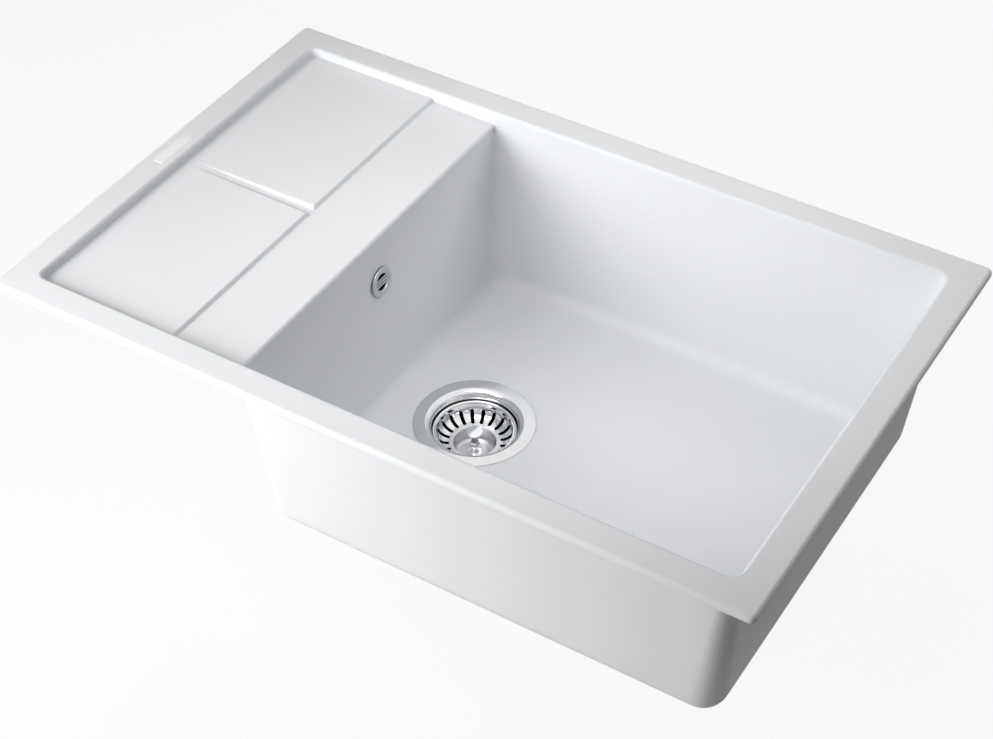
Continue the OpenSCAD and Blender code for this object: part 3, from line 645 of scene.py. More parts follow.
def bump(tree, height, strength, distance, shader):
    """Bump from a height onto a shader's normal. The distance is in metres."""
    node = tree.nodes.new("ShaderNodeBump")
    node.inputs["Strength"].default_value = strength
    node.inputs["Distance"].default_value = distance
    tree.links.new(height, node.inputs["Height"])
    tree.links.new(node.outputs["Normal"], shader.inputs["Normal"])


def cast_material(name, tone, speck, specks, strength, ior=1.5):
    """Matte cast or moulded finish. A lower ior keeps white surroundings out of it at flat angles."""
    material, tree, shader = new_material(name)
    shader.inputs["IOR"].default_value = ior
    group = tree.nodes.new("ShaderNodeGroup")
    group.node_tree = cast_grain
    group.inputs["Tone"].default_value = (*tone, 1)
    group.inputs["Speck"].default_value = (*speck, 1)
    group.inputs["Specks"].default_value = specks
    tree.links.new(group.outputs["Color"], shader.inputs["Base Color"])
    tree.links.new(group.outputs["Roughness"], shader.inputs["Roughness"])
    bump(tree, group.outputs["Height"], strength, 0.0002, shader)
    return material


composite = cast_material("white_composite", (0.80, 0.81, 0.825), (0.42, 0.43, 0.45), 0.35, 0.10, ior=1.03)
waste_plastic = cast_material("waste_plastic", (0.70, 0.70, 0.68), (0.5, 0.5, 0.49), 0.1, 0.05)
rubber = cast_material("black_rubber", (0.018, 0.018, 0.018), (0.05, 0.05, 0.05), 0.2, 0.3)
foam = cast_material("sealing_foam", (0.05, 0.05, 0.052), (0.12, 0.12, 0.12), 0.5, 0.8)
print("cast finishes:", composite.name, waste_plastic.name, rubber.name, foam.name)

# %% [markdown]
# The strainer is drawn from thin stainless sheet. Its flat ring and its basket are polished on a lathe,
# so the faint tool marks run round the drain's axis. That is a pattern on the radius: the distance from
# the axis feeds a fine noise, and the noise moves roughness and normal by very little. The knob and the
# overflow cover are chromed, which is brighter and smoother.
# The flange's neck and well, the basket's cup and the walls of its slots, and the inside of the cover's openings get
# painted shade in their colour.

# %% Turned and chromed metal
def around_axis(tree, x, y):
    """Distance from an upright axis and height, as one vector. Returns its socket and its two parts."""
    where = tree.nodes.new("ShaderNodeTexCoord").outputs["Object"]
    place = tree.nodes.new("ShaderNodeMapping")
    place.inputs["Location"].default_value = (-x, -y, 0)
    tree.links.new(where, place.inputs["Vector"])
    split = tree.nodes.new("ShaderNodeSeparateXYZ")
    tree.links.new(place.outputs["Vector"], split.inputs["Vector"])
    flat = tree.nodes.new("ShaderNodeCombineXYZ")
    tree.links.new(split.outputs["X"], flat.inputs["X"])
    tree.links.new(split.outputs["Y"], flat.inputs["Y"])
    length = tree.nodes.new("ShaderNodeVectorMath")
    length.operation = "LENGTH"
    tree.links.new(flat.outputs["Vector"], length.inputs[0])
    joined = tree.nodes.new("ShaderNodeCombineXYZ")
    tree.links.new(length.outputs["Value"], joined.inputs["X"])
    tree.links.new(split.outputs["Z"], joined.inputs["Z"])
    return joined.outputs["Vector"], length.outputs["Value"], split.outputs["Z"]


def along(tree, value, low, high, stops):
    """Ramp over a length in millimetres, from a low to a high end; the stops' places are millimetres too."""
    node = tree.nodes.new("ShaderNodeMapRange")
    node.inputs["From Min"].default_value = low * MM
    node.inputs["From Max"].default_value = high * MM
    tree.links.new(value, node.inputs["Value"])
    return ramp(tree, [((place - low) / (high - low), tone) for place, tone in stops], node.outputs["Result"])


def turned_aside(tree, x, y):
    """How much a surface looks along the ring about an upright axis: near 1 only on the walls of slots."""
    looks = tree.nodes.new("ShaderNodeTexCoord")
    offset = tree.nodes.new("ShaderNodeVectorMath")
    offset.operation = "SUBTRACT"
    offset.inputs[1].default_value = (x, y, 0)
    tree.links.new(looks.outputs["Object"], offset.inputs[0])
    ring = tree.nodes.new("ShaderNodeVectorMath")
    ring.operation = "CROSS_PRODUCT"
    ring.inputs[0].default_value = (0, 0, 1)
    tree.links.new(offset.outputs["Vector"], ring.inputs[1])
    unit = tree.nodes.new("ShaderNodeVectorMath")
    unit.operation = "NORMALIZE"
    tree.links.new(ring.outputs["Vector"], unit.inputs[0])
    share = tree.nodes.new("ShaderNodeVectorMath")
    share.operation = "DOT_PRODUCT"
    tree.links.new(unit.outputs["Vector"], share.inputs[0])
    tree.links.new(looks.outputs["Normal"], share.inputs[1])
    size = tree.nodes.new("ShaderNodeMath")
    size.operation = "ABSOLUTE"
    tree.links.new(share.outputs["Value"], size.inputs[0])
    return size.outputs["Value"]


def metal_material(name, color, rough, marks, axis=None, painted_shade=None, dullness=None, shade_slot_walls=False):
    """Polished metal. With an axis, its tool marks run round that axis, and painted shade over the height and
    dullness over the radius can be given as low end, high end and stops. With shaded slot walls, the walls
    of the slots are painted black: painted shade standing in for the dark below them."""
    material, tree, shader = new_material(name, metallic=1.0, color=color)
    if axis is None:
        where = tree.nodes.new("ShaderNodeTexCoord").outputs["Object"]
    else:
        where, radius, height = around_axis(tree, *axis)
    lines = noise(tree, where, 2600.0, 2.0)
    smudge = noise(tree, tree.nodes.new("ShaderNodeTexCoord").outputs["Object"], 60.0, 3.0)
    both = mix(tree, "MIX", 0.5, lines, smudge)
    roughness = ramp(tree, ((0.3, rough[0]), (0.7, rough[1])), both)
    if dullness:
        roughness = mix(tree, "ADD", 1.0, roughness, along(tree, radius, *dullness))
    tree.links.new(roughness, shader.inputs["Roughness"])
    tint = mix(tree, "MULTIPLY", 1.0, color, ramp(tree, ((0.3, 0.97), (0.7, 1.0)), smudge))
    # Painted shade: the colour is darkened over the height, where the piece's hollows lie in shade.
    if painted_shade:
        tint = mix(tree, "MULTIPLY", 1.0, tint, along(tree, height, *painted_shade))
    # Painted shade: the walls of the slots are painted black for the dark below them.
    if shade_slot_walls:
        walls = ramp(tree, ((0.35, 1.0), (0.6, 0.02)), turned_aside(tree, *axis))
        tint = mix(tree, "MULTIPLY", 1.0, tint, walls)
    tree.links.new(tint, shader.inputs["Base Color"])
    bump(tree, lines, marks, 0.00002, shader)
    return material


def cover_material(name, color, rough, place, out, mouth):
    """Satin metal whose colour goes black below a depth, measured along an axis: painted shade inside the cover's
    openings.
    """
    material, tree, shader = new_material(name, metallic=1.0, color=color)
    where = tree.nodes.new("ShaderNodeTexCoord").outputs["Object"]
    offset = tree.nodes.new("ShaderNodeVectorMath")
    offset.operation = "SUBTRACT"
    offset.inputs[1].default_value = place
    tree.links.new(where, offset.inputs[0])
    depth = tree.nodes.new("ShaderNodeVectorMath")
    depth.operation = "DOT_PRODUCT"
    depth.inputs[1].default_value = out
    tree.links.new(offset.outputs["Vector"], depth.inputs[0])
    # Painted shade: the colour is black below the mouth, inside the openings.
    inside = along(tree, depth.outputs["Value"], mouth - 1.0, mouth + 1.0, ((mouth - 0.1, 0.02), (mouth + 0.1, 1.0)))
    grain = noise(tree, where, 1800.0, 2.0)
    tree.links.new(ramp(tree, ((0.3, rough[0]), (0.7, rough[1])), grain), shader.inputs["Roughness"])
    brushed = mix(tree, "MULTIPLY", 1.0, color, ramp(tree, ((0.3, 0.95), (0.7, 1.0)), grain))
    tree.links.new(mix(tree, "MULTIPLY", 1.0, brushed, inside), shader.inputs["Base Color"])
    bump(tree, grain, 0.05, 0.00002, shader)
    return material


COVER_LIFT, DISH_Z = 0.9, 0.9
drain_axis = (DRAIN_X * MM, 0.0)
lip_z = flange_high.z
basket_low, basket_high = span("strainer_basket")
# Painted shade: the flange's colour falls to near black down the neck and in the well under the ledge.
flange_painted_shade = (lip_z - 20.0, lip_z, ((lip_z - 14.5, 0.05), (lip_z - 10.6, 0.06), (lip_z - 9.6, 0.35), (lip_z - 8.6, 0.65), (lip_z - 7.4, 0.95)))
turned_steel = metal_material("turned_steel", (0.84, 0.845, 0.855), (0.12, 0.18), 0.15, drain_axis, painted_shade=flange_painted_shade)
basket_dullness = (0.0, 40.0, ((20.0, 0.28), (22.5, 0.20), (27.0, 0.12), (31.0, 0.0)))
cup_top = basket_high.z - 17.1
# Painted shade: the basket's colour is darker down in the cup below the shelf, and the walls of its slots are painted
# black.
basket_painted_shade = (cup_top - 18.0, cup_top + 18.0, ((cup_top - 9.0, 0.78), (cup_top - 1.5, 0.84), (cup_top + 0.5, 0.97)))
basket_steel = metal_material("basket_steel", (0.86, 0.865, 0.875), (0.07, 0.13), 0.12, drain_axis, basket_painted_shade,
                              basket_dullness, shade_slot_walls=True)
chrome = metal_material("polished_chrome", (0.92, 0.925, 0.935), (0.03, 0.07), 0.03)
satin = metal_material("satin_plate", (0.79, 0.795, 0.805), (0.34, 0.42), 0.3)
cover_steel = cover_material("satin_cover", (0.56, 0.565, 0.575), (0.24, 0.34), overflow_at * MM, overflow_out,
                             COVER_LIFT + DISH_Z - 0.35)
plain_steel = metal_material("plain_steel", (0.72, 0.725, 0.735), (0.22, 0.34), 0.15, drain_axis)
brass = metal_material("turned_brass", (0.78, 0.58, 0.27), (0.2, 0.35), 0.2, drain_axis)
print("metals:", turned_steel.name, basket_steel.name, chrome.name, satin.name, plain_steel.name, brass.name)

# %% Basin
basin = finish(bm, "basin", "sink", composite, ("sink_basin",), sharp=50.0)
weigh_normals(basin)

# %% [markdown]
# ## The strainer
# Everything in the drain is round, so each piece is a half section, spun about the drain's axis. Sheet
# metal is drawn as a closed section of both its skins, with an arc at each bend, so the section itself
# carries the thickness. That keeps the sheet even, as it is on the real pressing.

# %% Sections and spinning
SPIN_STEPS = 96


def bend(cx, cz, r, start, end, steps=8):
    """Points of a bend in a section, from one angle to another in degrees."""
    angles = [math.radians(start + (end - start) * i / steps) for i in range(steps + 1)]
    return [(cx + r * math.cos(a), cz + r * math.sin(a)) for a in angles]


def spin_section(points, x=DRAIN_X, closed=False):
    """Spins a half section, given as radius and height, about an upright axis."""
    bm = bmesh.new()
    verts = chain(bm, [(x + r, 0.0, z) for r, z in points], closed=closed)
    bmesh.ops.spin(bm, geom=list(bm.verts) + list(bm.edges), cent=(x, 0, 0), axis=(0, 0, 1), dvec=(0, 0, 0),
                   angle=2 * math.pi, steps=SPIN_STEPS, use_merge=True)
    bmesh.ops.remove_doubles(bm, verts=bm.verts, dist=0.002)
    return bm


def give_wall(bm, thickness):
    """Solidifies a surface away from its normals."""
    bmesh.ops.recalc_face_normals(bm, faces=bm.faces)
    bmesh.ops.solidify(bm, geom=bm.faces, thickness=thickness)


print("spin steps:", SPIN_STEPS)

# %% [markdown]
# The flange: a flat ring that lies in the seat, a rolled lip, the neck, a ledge that the basket's rim
# sits on, and the well. Under the well a spoked hub takes the centre screw. The ring and the lip are
# what the eye sees first, so they get the most segments.

# %% Sheet of the flange
FLANGE_Z = flange_high.z
FLANGE_R = flange_high.x - DRAIN_X
SHEET = 1.2
LIP_R, NECK_R, WELL_R, PORT_R = 7.0, 43.2, 40.2, 19.0
LEDGE_Z, WELL_Z = FLANGE_Z - 13.2, FLANGE_Z - 48.3
WELL_BEND, SMALL_BEND = 7.0, 1.0


def offset_bend(cx, cz, r, start, end, steps=8):
    """A bend of the top skin, and the same bend of the underside."""
    return bend(cx, cz, r, start, end, steps), bend(cx, cz, r - SHEET, start, end, steps)


lip_top, lip_under = offset_bend(NECK_R + LIP_R, FLANGE_Z - LIP_R, LIP_R, 90, 180, 12)
flange_top = bend(FLANGE_R - SHEET / 2, FLANGE_Z - SHEET / 2, SHEET / 2, -90, 90, 6)
flange_top += lip_top
flange_top += bend(NECK_R - SMALL_BEND, LEDGE_Z + SMALL_BEND, SMALL_BEND, 0, -90, 5)
flange_top += bend(WELL_R + SMALL_BEND, LEDGE_Z - SMALL_BEND, SMALL_BEND, 90, 180, 5)
flange_top += bend(WELL_R - WELL_BEND, WELL_Z + WELL_BEND, WELL_BEND, 0, -90, 8)
flange_top += bend(PORT_R, WELL_Z - SHEET / 2, SHEET / 2, 90, 270, 6)
flange_under = bend(WELL_R - WELL_BEND, WELL_Z + WELL_BEND, WELL_BEND + SHEET, -90, 0, 8)
flange_under += [(WELL_R + SHEET, LEDGE_Z - SHEET), (NECK_R + SHEET, LEDGE_Z - SHEET)]
flange_under += list(reversed(lip_under))
section = flange_top + flange_under
bm = spin_section(section, closed=True)
print("flange section:", len(section), "points")

# %% [markdown]
# The hub hangs under the port on four spokes. One spoke is a bar that slopes down and inwards; it is
# made once from a cube, sheared into place and copied round the axis. The hub's own ring is spun.

# %% Hub and spokes
HUB_Z = flange_low.z + SHEET
HUB_R, SCREW_R = 9.0, 4.3
SPOKES, SPOKE_W = 4, 5.0
hub_ring = [(SCREW_R, HUB_Z), (HUB_R, HUB_Z), (HUB_R + 1.0, HUB_Z - SHEET / 2), (HUB_R, HUB_Z - SHEET),
            (SCREW_R, HUB_Z - SHEET)]
hub = spin_section(hub_ring, closed=True)
hub_mesh = bpy.data.meshes.new("hub_work")
hub.to_mesh(hub_mesh)
hub.free()
bm.from_mesh(hub_mesh)
for i in range(SPOKES):
    made = bmesh.ops.create_cube(bm, size=1.0)["verts"]
    bmesh.ops.scale(bm, vec=(PORT_R - HUB_R + 2.0, SPOKE_W, SHEET), verts=made)
    bmesh.ops.translate(bm, vec=((PORT_R + HUB_R) / 2, 0, 0), verts=made)
    for v in made:
        v.co.z += HUB_Z - SHEET / 2 + (WELL_Z - HUB_Z) * (v.co.x - HUB_R) / (PORT_R - HUB_R)
    bmesh.ops.rotate(bm, cent=(0, 0, 0), matrix=Matrix.Rotation(2 * math.pi * i / SPOKES, 3, "Z"), verts=made)
    bmesh.ops.translate(bm, vec=(DRAIN_X, 0, 0), verts=made)
flange = finish(bm, "strainer_flange_sheet", "sink", turned_steel, ("strainer_flange",), sharp=35.0)
weigh_normals(flange)

# %% [markdown]
# The basket: a rolled edge, a short wall, the curve that carries the slots, a flat shelf and a deep cup.
# The slots are cut with one boolean. Their cutters are a circle split in half and stretched, so each
# slot has round ends, and they are raised along the axis, as the punch goes through the real sheet.

# %% Sheet of the basket
BASKET_SHEET, ROLL_R = 0.8, 1.4
BASKET_R = basket_high.x - DRAIN_X
ROLL_Z = basket_high.z - ROLL_R
WALL_R, CURVE_R, CUP_R, CUP_BEND, CUP_DEEP = 38.6, 12.0, 21.4, 5.0, 17.0
CURVE_Z = ROLL_Z - 3.7
SHELF_Z = CURVE_Z - CURVE_R
CUP_Z = SHELF_Z - CUP_DEEP
POST_R = 2.55
roll_x = BASKET_R - ROLL_R
inside = bend(roll_x, ROLL_Z, ROLL_R, 180, -160, 14)
outside = []
inside = [(WALL_R + 0.6, ROLL_Z + 0.4)] + bend(roll_x, ROLL_Z, ROLL_R, 150, -150, 14)
wall_top = bend(WALL_R - 0.9, ROLL_Z - 0.2, 0.9, 60, 0, 3)
inner_skin = list(reversed(inside[1:])) + [(WALL_R + 1.2, ROLL_Z + 0.4)] + wall_top
inner_skin += bend(WALL_R - CURVE_R, CURVE_Z, CURVE_R, 0, -90, 10)
inner_skin += bend(CUP_R + 0.8, SHELF_Z - 0.8, 0.8, 90, 180, 4)
inner_skin += bend(CUP_R - CUP_BEND, CUP_Z + CUP_BEND, CUP_BEND, 0, -90, 7)
inner_skin += [(POST_R, CUP_Z)]
outer_skin = [(POST_R, CUP_Z - BASKET_SHEET)]
outer_skin += bend(CUP_R - CUP_BEND, CUP_Z + CUP_BEND, CUP_BEND + BASKET_SHEET, -90, 0, 7)
outer_skin += [(CUP_R + BASKET_SHEET, SHELF_Z - BASKET_SHEET)]
outer_skin += bend(WALL_R - CURVE_R, CURVE_Z, CURVE_R + BASKET_SHEET, -90, 0, 10)
outer_skin += [(WALL_R + BASKET_SHEET, ROLL_Z - 0.4)]
bm = spin_section(inner_skin + outer_skin, closed=True)
bmesh.ops.scale(bm, vec=(MM, MM, MM), verts=bm.verts)
bmesh.ops.recalc_face_normals(bm, faces=bm.faces)
blank_mesh = bpy.data.meshes.new("basket_blank")
bm.to_mesh(blank_mesh)
bm.free()
blank = bpy.data.objects.new("basket_blank", blank_mesh)
bpy.context.collection.objects.link(blank)
print("basket section:", len(inner_skin) + len(outer_skin), "points")

# %% Slots
SLOTS, SLOT_W, SLOT_IN, SLOT_OUT = 20, 4.0, 27.6, 36.6
cutters = bmesh.new()
for i in range(SLOTS):
    made = bmesh.ops.create_circle(cutters, cap_ends=True, radius=SLOT_W / 2, segments=16)["verts"]
    for v in made:
        v.co.x += SLOT_IN if v.co.x < 0 else SLOT_OUT
        v.co.z = SHELF_Z - 3.0
    bmesh.ops.rotate(cutters, cent=(0, 0, 0), matrix=Matrix.Rotation(2 * math.pi * i / SLOTS, 3, "Z"), verts=made)
    bmesh.ops.translate(cutters, vec=(DRAIN_X, 0, 0), verts=made)
raised = bmesh.ops.extrude_face_region(cutters, geom=list(cutters.faces))["geom"]
bmesh.ops.translate(cutters, vec=(0, 0, CURVE_R + 2.0), verts=[g for g in raised if isinstance(g, bmesh.types.BMVert)])
bmesh.ops.recalc_face_normals(cutters, faces=cutters.faces)
bmesh.ops.scale(cutters, vec=(MM, MM, MM), verts=cutters.verts)


def cut(blank, cutters):
    """Cuts a bmesh of cutters out of an object and returns the result as a bmesh in millimetres."""
    mesh = bpy.data.meshes.new("cutters")
    cutters.to_mesh(mesh)
    cutters.free()
    tool = bpy.data.objects.new("cutters", mesh)
    bpy.context.collection.objects.link(tool)
    modifier = blank.modifiers.new("cut", "BOOLEAN")
    modifier.operation = "DIFFERENCE"
    modifier.solver = "EXACT"
    modifier.object = tool
    result = bmesh.new()
    result.from_object(blank, bpy.context.evaluated_depsgraph_get())
    for used in (blank, tool):
        bpy.data.objects.remove(used)
    bmesh.ops.scale(result, vec=(1 / MM, 1 / MM, 1 / MM), verts=result.verts)
    return result


bm = cut(blank, cutters)
basket = finish(bm, "basket_sheet", "basket", basket_steel, ("strainer_basket",), sharp=40.0)
weigh_normals(basket)

# %% [markdown]
# The knob is turned brass, chromed: a foot, a waist, a round bead, a neck and a flared head with a flat
# top. The bead and the waists are arcs, and every edge has a small round so that it catches light.

# %% Knob
knob_low, knob_high = span("basket_knob")
KNOB_R, KNOB_H = knob_high.x - DRAIN_X, knob_high.z - knob_low.z
FOOT_KNOB_R, STEM_R, BEAD_R = 7.8, 3.4, 5.2
bead_z = knob_low.z + 0.43 * KNOB_H
flare_z = knob_low.z + 0.75 * KNOB_H
head_z = knob_low.z + 0.94 * KNOB_H
bead_turn = math.degrees(math.acos(STEM_R / BEAD_R))
section = [(2.0, knob_low.z)] + bend(FOOT_KNOB_R - 0.6, knob_low.z + 0.6, 0.6, -90, 0, 3)
section += bend(FOOT_KNOB_R - 1.0, knob_low.z + 2.0, 1.0, 0, 90, 4)
section += bend(STEM_R + 1.6, knob_low.z + 4.6, 1.6, -90, -180, 4)
section += bend(0.0, bead_z, BEAD_R, -bead_turn, bead_turn, 12)
section += [(STEM_R, flare_z - 0.8)]
section += bend(STEM_R + 14.0, flare_z, 14.0, 180, 158, 5)
section += bend(KNOB_R - 0.8, head_z + 0.3, 0.8, -30, 0, 3) + bend(KNOB_R - 0.7, knob_high.z - 0.7, 0.7, 0, 90, 4)
section += [(0.0, knob_high.z)]
bm = spin_section(section)
bmesh.ops.holes_fill(bm, edges=[e for e in bm.edges if e.is_boundary], sides=0)
knob = finish(bm, "knob", "basket", chrome, ("basket_knob",), sharp=50.0)
weigh_normals(knob)

# %% [markdown]
# ## The overflow cover
# A small round cover screws into the wall of the bowl. It has a flat satin rim and a dished middle with
# a bar across it; water leaves over and under the bar. The cover is built flat and upright, as it would
# be turned, then tilted onto the leaning wall.

# %% Blank of the cover
COVER_R, COVER_T, DISH_R = 15.7, 1.8, 11.2
TUBE_R, TUBE_IN, TUBE_BACK = 10.2, 9.0, 16.5
cover_place = Matrix.Translation(overflow_at) @ Matrix.Rotation(math.pi / 2 - LEAN, 4, "Y")
section = [(0.0, DISH_Z)] + [(DISH_R - 1.2, DISH_Z)] + bend(DISH_R - 0.5, COVER_T - 0.4, 0.4, 180, 90, 4)
section += bend(COVER_R - 1.1, COVER_T - 1.1, 1.1, 90, 0, 6) + [(COVER_R, 0.0)]
section += [(TUBE_R, 0.0), (TUBE_R, -TUBE_BACK), (0.0, -TUBE_BACK)]
bm = spin_section(section, x=0.0)
bmesh.ops.recalc_face_normals(bm, faces=bm.faces)
bmesh.ops.scale(bm, vec=(MM, MM, MM), verts=bm.verts)
blank_mesh = bpy.data.meshes.new("cover_blank")
bm.to_mesh(blank_mesh)
bm.free()
blank = bpy.data.objects.new("cover_blank", blank_mesh)
bpy.context.collection.objects.link(blank)
print("cover section:", len(section), "points")

# %% Openings and grooves of the cover
BAR_H, BAR_T = 9.0, 2.1
GROOVE_W, GROOVE_DEEP = 1.1, 0.55


def crescents(bm, low, high):
    """Two crescent prisms over and under the bar, between two heights."""
    for side in (-1, 1):
        made = bmesh.ops.create_circle(bm, cap_ends=True, radius=TUBE_IN, segments=64)["verts"]
        geom = made + list({e for v in made for e in v.link_edges}) + list({f for v in made for f in v.link_faces})
        bmesh.ops.bisect_plane(bm, geom=geom, plane_co=(side * BAR_H / 2, 0, 0), plane_no=(-side, 0, 0), clear_outer=True)
    fresh = [v for v in bm.verts if abs(v.co.z) < MM]
    for v in fresh:
        v.co.z = low
    faces = [f for f in bm.faces if all(abs(v.co.z - low) < MM for v in f.verts)]
    top = bmesh.ops.extrude_face_region(bm, geom=faces)["geom"]
    bmesh.ops.translate(bm, vec=(0, 0, high - low), verts=[g for g in top if isinstance(g, bmesh.types.BMVert)])


cutters = bmesh.new()
crescents(cutters, -BAR_T, COVER_T + 1.0)
made = bmesh.ops.create_circle(cutters, cap_ends=True, radius=TUBE_IN, segments=64)["verts"]
bmesh.ops.translate(cutters, vec=(0, 0, -TUBE_BACK - 1.0), verts=made)
faces = list({f for v in made for f in v.link_faces})
top = bmesh.ops.extrude_face_region(cutters, geom=faces)["geom"]
top_verts = [g for g in top if isinstance(g, bmesh.types.BMVert)]
bmesh.ops.translate(cutters, vec=(0, 0, TUBE_BACK + 1.0 - BAR_T + 0.01), verts=top_verts)
for side in (-1, 1):
    made = bmesh.ops.create_cube(cutters, size=1.0)["verts"]
    bmesh.ops.scale(cutters, vec=(GROOVE_W, 2 * TUBE_IN - 1.0, 2 * GROOVE_DEEP), verts=made)
    bmesh.ops.translate(cutters, vec=(side * BAR_H / 5, 0, DISH_Z), verts=made)
bmesh.ops.recalc_face_normals(cutters, faces=cutters.faces)
bmesh.ops.scale(cutters, vec=(MM, MM, MM), verts=cutters.verts)
bm = cut(blank, cutters)
bmesh.ops.translate(bm, vec=(0, 0, COVER_LIFT), verts=bm.verts)
bmesh.ops.transform(bm, matrix=cover_place, verts=bm.verts)
cover = finish(bm, "overflow_cover", "sink", cover_steel, ("overflow_rosette",), sharp=35.0)
weigh_normals(cover)

# %% [markdown]
# A thin plate is let into the rim at the left. It stays bare. It is a cube, scaled and given a small
# bevel, which is all that a stamped plate needs.

# %% Plate in the rim
plate_low, plate_high = span("badge_plate")
bm = bmesh.new()
made = bmesh.ops.create_cube(bm, size=1.0)["verts"]
bmesh.ops.scale(bm, vec=plate_high - plate_low, verts=made)
bmesh.ops.translate(bm, vec=(plate_high + plate_low) / 2, verts=made)
upright = [e for e in bm.edges if abs(e.verts[0].co.z - e.verts[1].co.z) > 0.1]
bmesh.ops.bevel(bm, geom=upright, offset=0.8, segments=4, profile=0.5, affect="EDGES", material=-1)
rim_edges = [e for e in bm.edges if all(v.co.z > plate_high.z - 0.05 for v in e.verts) and e.calc_face_angle(0) > 1]
bmesh.ops.bevel(bm, geom=rim_edges, offset=0.15, segments=2, profile=0.5, affect="EDGES", material=-1)
plate = finish(bm, "rim_plate", "sink", satin, ("badge_plate",), sharp=50.0)

# %% [markdown]
# ## The pieces that stay as packed
# Gaskets, screws, the post and the plastic under the sink already have their true shape in the packed
# model. They keep their meshes and take a finish on their material slots.

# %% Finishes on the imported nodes
packed_finish = {
    "rim_seal": foam, "flange_gasket": rubber, "basket_stopper": rubber, "waste_gasket": rubber,
    "rosette_washer": rubber, "overflow_gasket": rubber, "coupling_seals": rubber,
    "stopper_washer": plain_steel, "locating_pin": plain_steel, "centre_screw": plain_steel,
    "waste_body": waste_plastic, "overflow_housing": waste_plastic, "overflow_pipe": waste_plastic,
    "coupling_nuts": waste_plastic, "screw_insert": brass,
}
for name, material in packed_finish.items():
    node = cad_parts[name]
    for slot in node.material_slots:
        slot.material = material
print("packed nodes with a finish:", len(packed_finish))

# %% [markdown]
# ## Floor, light and background
# The photograph shows the sink alone on pure white. So the camera, and every mirror that looks past the
# sink, must see white, while the light on the sink comes from lamps at a plain level. The floor and the
# world both ask which kind of ray is looking: camera, glossy and transmission rays get white. On the
# floor a tenth of the real surface stays in the mix, so the sink's shadow still shows.

# %% Floor and world
FLOOR_AT = span("waste_body")[0].z * MM - 0.002
FLOOR_WHITE = 0.9


def white_for_lookers(tree, other, share=1.0):
    """Mixes a shader with plain white for camera, glossy and transmission rays, by a share of the white."""
    path = tree.nodes.new("ShaderNodeLightPath")
    glossy = tree.nodes.new("ShaderNodeMath")
    glossy.operation = "MAXIMUM"
    looker = tree.nodes.new("ShaderNodeMath")
    looker.operation = "MAXIMUM"
    tree.links.new(path.outputs["Is Camera Ray"], glossy.inputs[0])
    tree.links.new(path.outputs["Is Glossy Ray"], glossy.inputs[1])
    tree.links.new(glossy.outputs[0], looker.inputs[0])
    tree.links.new(path.outputs["Is Transmission Ray"], looker.inputs[1])
    white = tree.nodes.new("ShaderNodeEmission" if other.bl_idname != "ShaderNodeBackground" else "ShaderNodeBackground")
    white.inputs["Color"].default_value = (1, 1, 1, 1)
    white.inputs["Strength"].default_value = 1.0
    part = tree.nodes.new("ShaderNodeMath")
    part.operation = "MULTIPLY"
    part.inputs[1].default_value = share
    tree.links.new(looker.outputs[0], part.inputs[0])
    blend = tree.nodes.new("ShaderNodeMixShader")
    tree.links.new(part.outputs[0], blend.inputs[0])
    tree.links.new(other.outputs[0], blend.inputs[1])
    tree.links.new(white.outputs[0], blend.inputs[2])
    return blend.outputs[0]


floor_bm = bmesh.new()
bmesh.ops.create_grid(floor_bm, x_segments=1, y_segments=1, size=6.0)
bmesh.ops.translate(floor_bm, vec=(0, 0, FLOOR_AT), verts=floor_bm.verts)
floor_mesh = bpy.data.meshes.new("floor")
floor_bm.to_mesh(floor_mesh)
floor_bm.free()
floor = bpy.data.objects.new("floor", floor_mesh)
bpy.context.collection.objects.link(floor)
floor_mat = bpy.data.materials.new("pale_floor")
floor_mat.use_nodes = True
tree = floor_mat.node_tree
tree.nodes.remove(tree.nodes["Principled BSDF"])
diffuse = tree.nodes.new("ShaderNodeBsdfDiffuse")
diffuse.inputs["Color"].default_value = (0.8, 0.8, 0.8, 1)
tree.links.new(white_for_lookers(tree, diffuse, FLOOR_WHITE), tree.nodes["Material Output"].inputs["Surface"])
floor_mesh.materials.append(floor_mat)
WORLD_LIGHT = 0.02
world = bpy.data.worlds.new("studio")
bpy.context.scene.world = world
world.use_nodes = True
tree = world.node_tree
fill = tree.nodes["Background"]
fill.inputs["Color"].default_value = (0.98, 0.99, 1.0, 1)
fill.inputs["Strength"].default_value = WORLD_LIGHT
tree.links.new(white_for_lookers(tree, fill), tree.nodes["World Output"].inputs["Surface"])
print(f"floor at {FLOOR_AT:.3f} m")

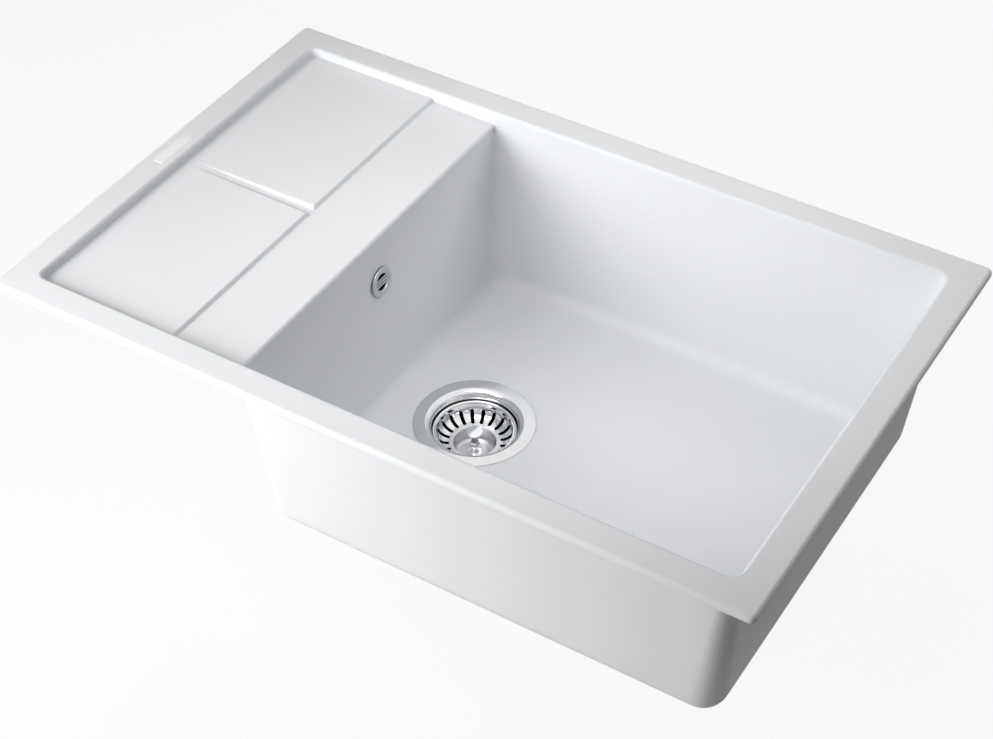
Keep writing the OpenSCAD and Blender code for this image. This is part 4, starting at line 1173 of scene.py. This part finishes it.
# %% [markdown]
# The lamps are soft boxes around the sink. In the picture the walls that look forwards are the brightest,
# the top faces come next and the faces that look right stay dimmest, so the strongest lamp stands low at
# the front left. One from the back right keeps the shaded inner wall of the bowl from going dead, and
# four narrow ones lift small areas. No lamp shows itself to the camera, and those behind the sink don't
# show in its metal either.

# %% Lamps
def softbox(name, place, target, size, power, spread=180.0, in_metal=True):
    """Square area lamp at a place, turned to a target, with its power in watts and its spread in degrees."""
    light = bpy.data.lights.new(name, "AREA")
    light.shape = "SQUARE"
    light.size = size
    light.energy = power
    light.spread = math.radians(spread)
    lamp = bpy.data.objects.new(name, light)
    bpy.context.collection.objects.link(lamp)
    lamp.location = place
    lamp.rotation_euler = (Vector(target) - Vector(place)).to_track_quat("-Z", "Y").to_euler()
    lamp.visible_camera = False
    lamp.visible_glossy = in_metal
    return lamp


def around(azimuth, elevation, distance, middle=(0.0, 0.0, 0.0)):
    """Place on a sphere: azimuth 0 is in front, 90 on the right; both angles in degrees."""
    a, e = math.radians(azimuth), math.radians(elevation)
    return Vector(middle) + distance * Vector((math.sin(a) * math.cos(e), -math.cos(a) * math.cos(e), math.sin(e)))


MIDDLE, BOWL_SIDE = (0.0, 0.0, -0.05), (-0.15, 0.0, -0.05)
softbox("key_low", around(-30, 15, 1.7), MIDDLE, 0.9, 14.4)
softbox("right", around(120, 40, 1.7), MIDDLE, 0.9, 2.5, in_metal=False)
softbox("back_right", around(150, 40, 1.7), MIDDLE, 0.9, 8.1, in_metal=False)
softbox("near_left", around(-30, 20, 0.85, (-0.15, 0.0, 0.0)), BOWL_SIDE, 0.5, 3.7)
softbox("board", around(-30, 40, 1.7), (-0.3, -0.15, 0.0), 0.9, 0.65, 50)
softbox("back_left", around(-120, 40, 1.7), (-0.1, 0.1, 0.0), 0.9, 0.55, 50, in_metal=False)
softbox("board_end", around(-45, 25, 1.7), (-0.35, -0.25, 0.0), 0.9, 0.12, 40)
softbox("over_bowl", around(0, 70, 0.85), (0.1, 0.2, -0.15), 0.5, 0.71, 70)
bpy.context.scene.view_settings.view_transform = "Standard"
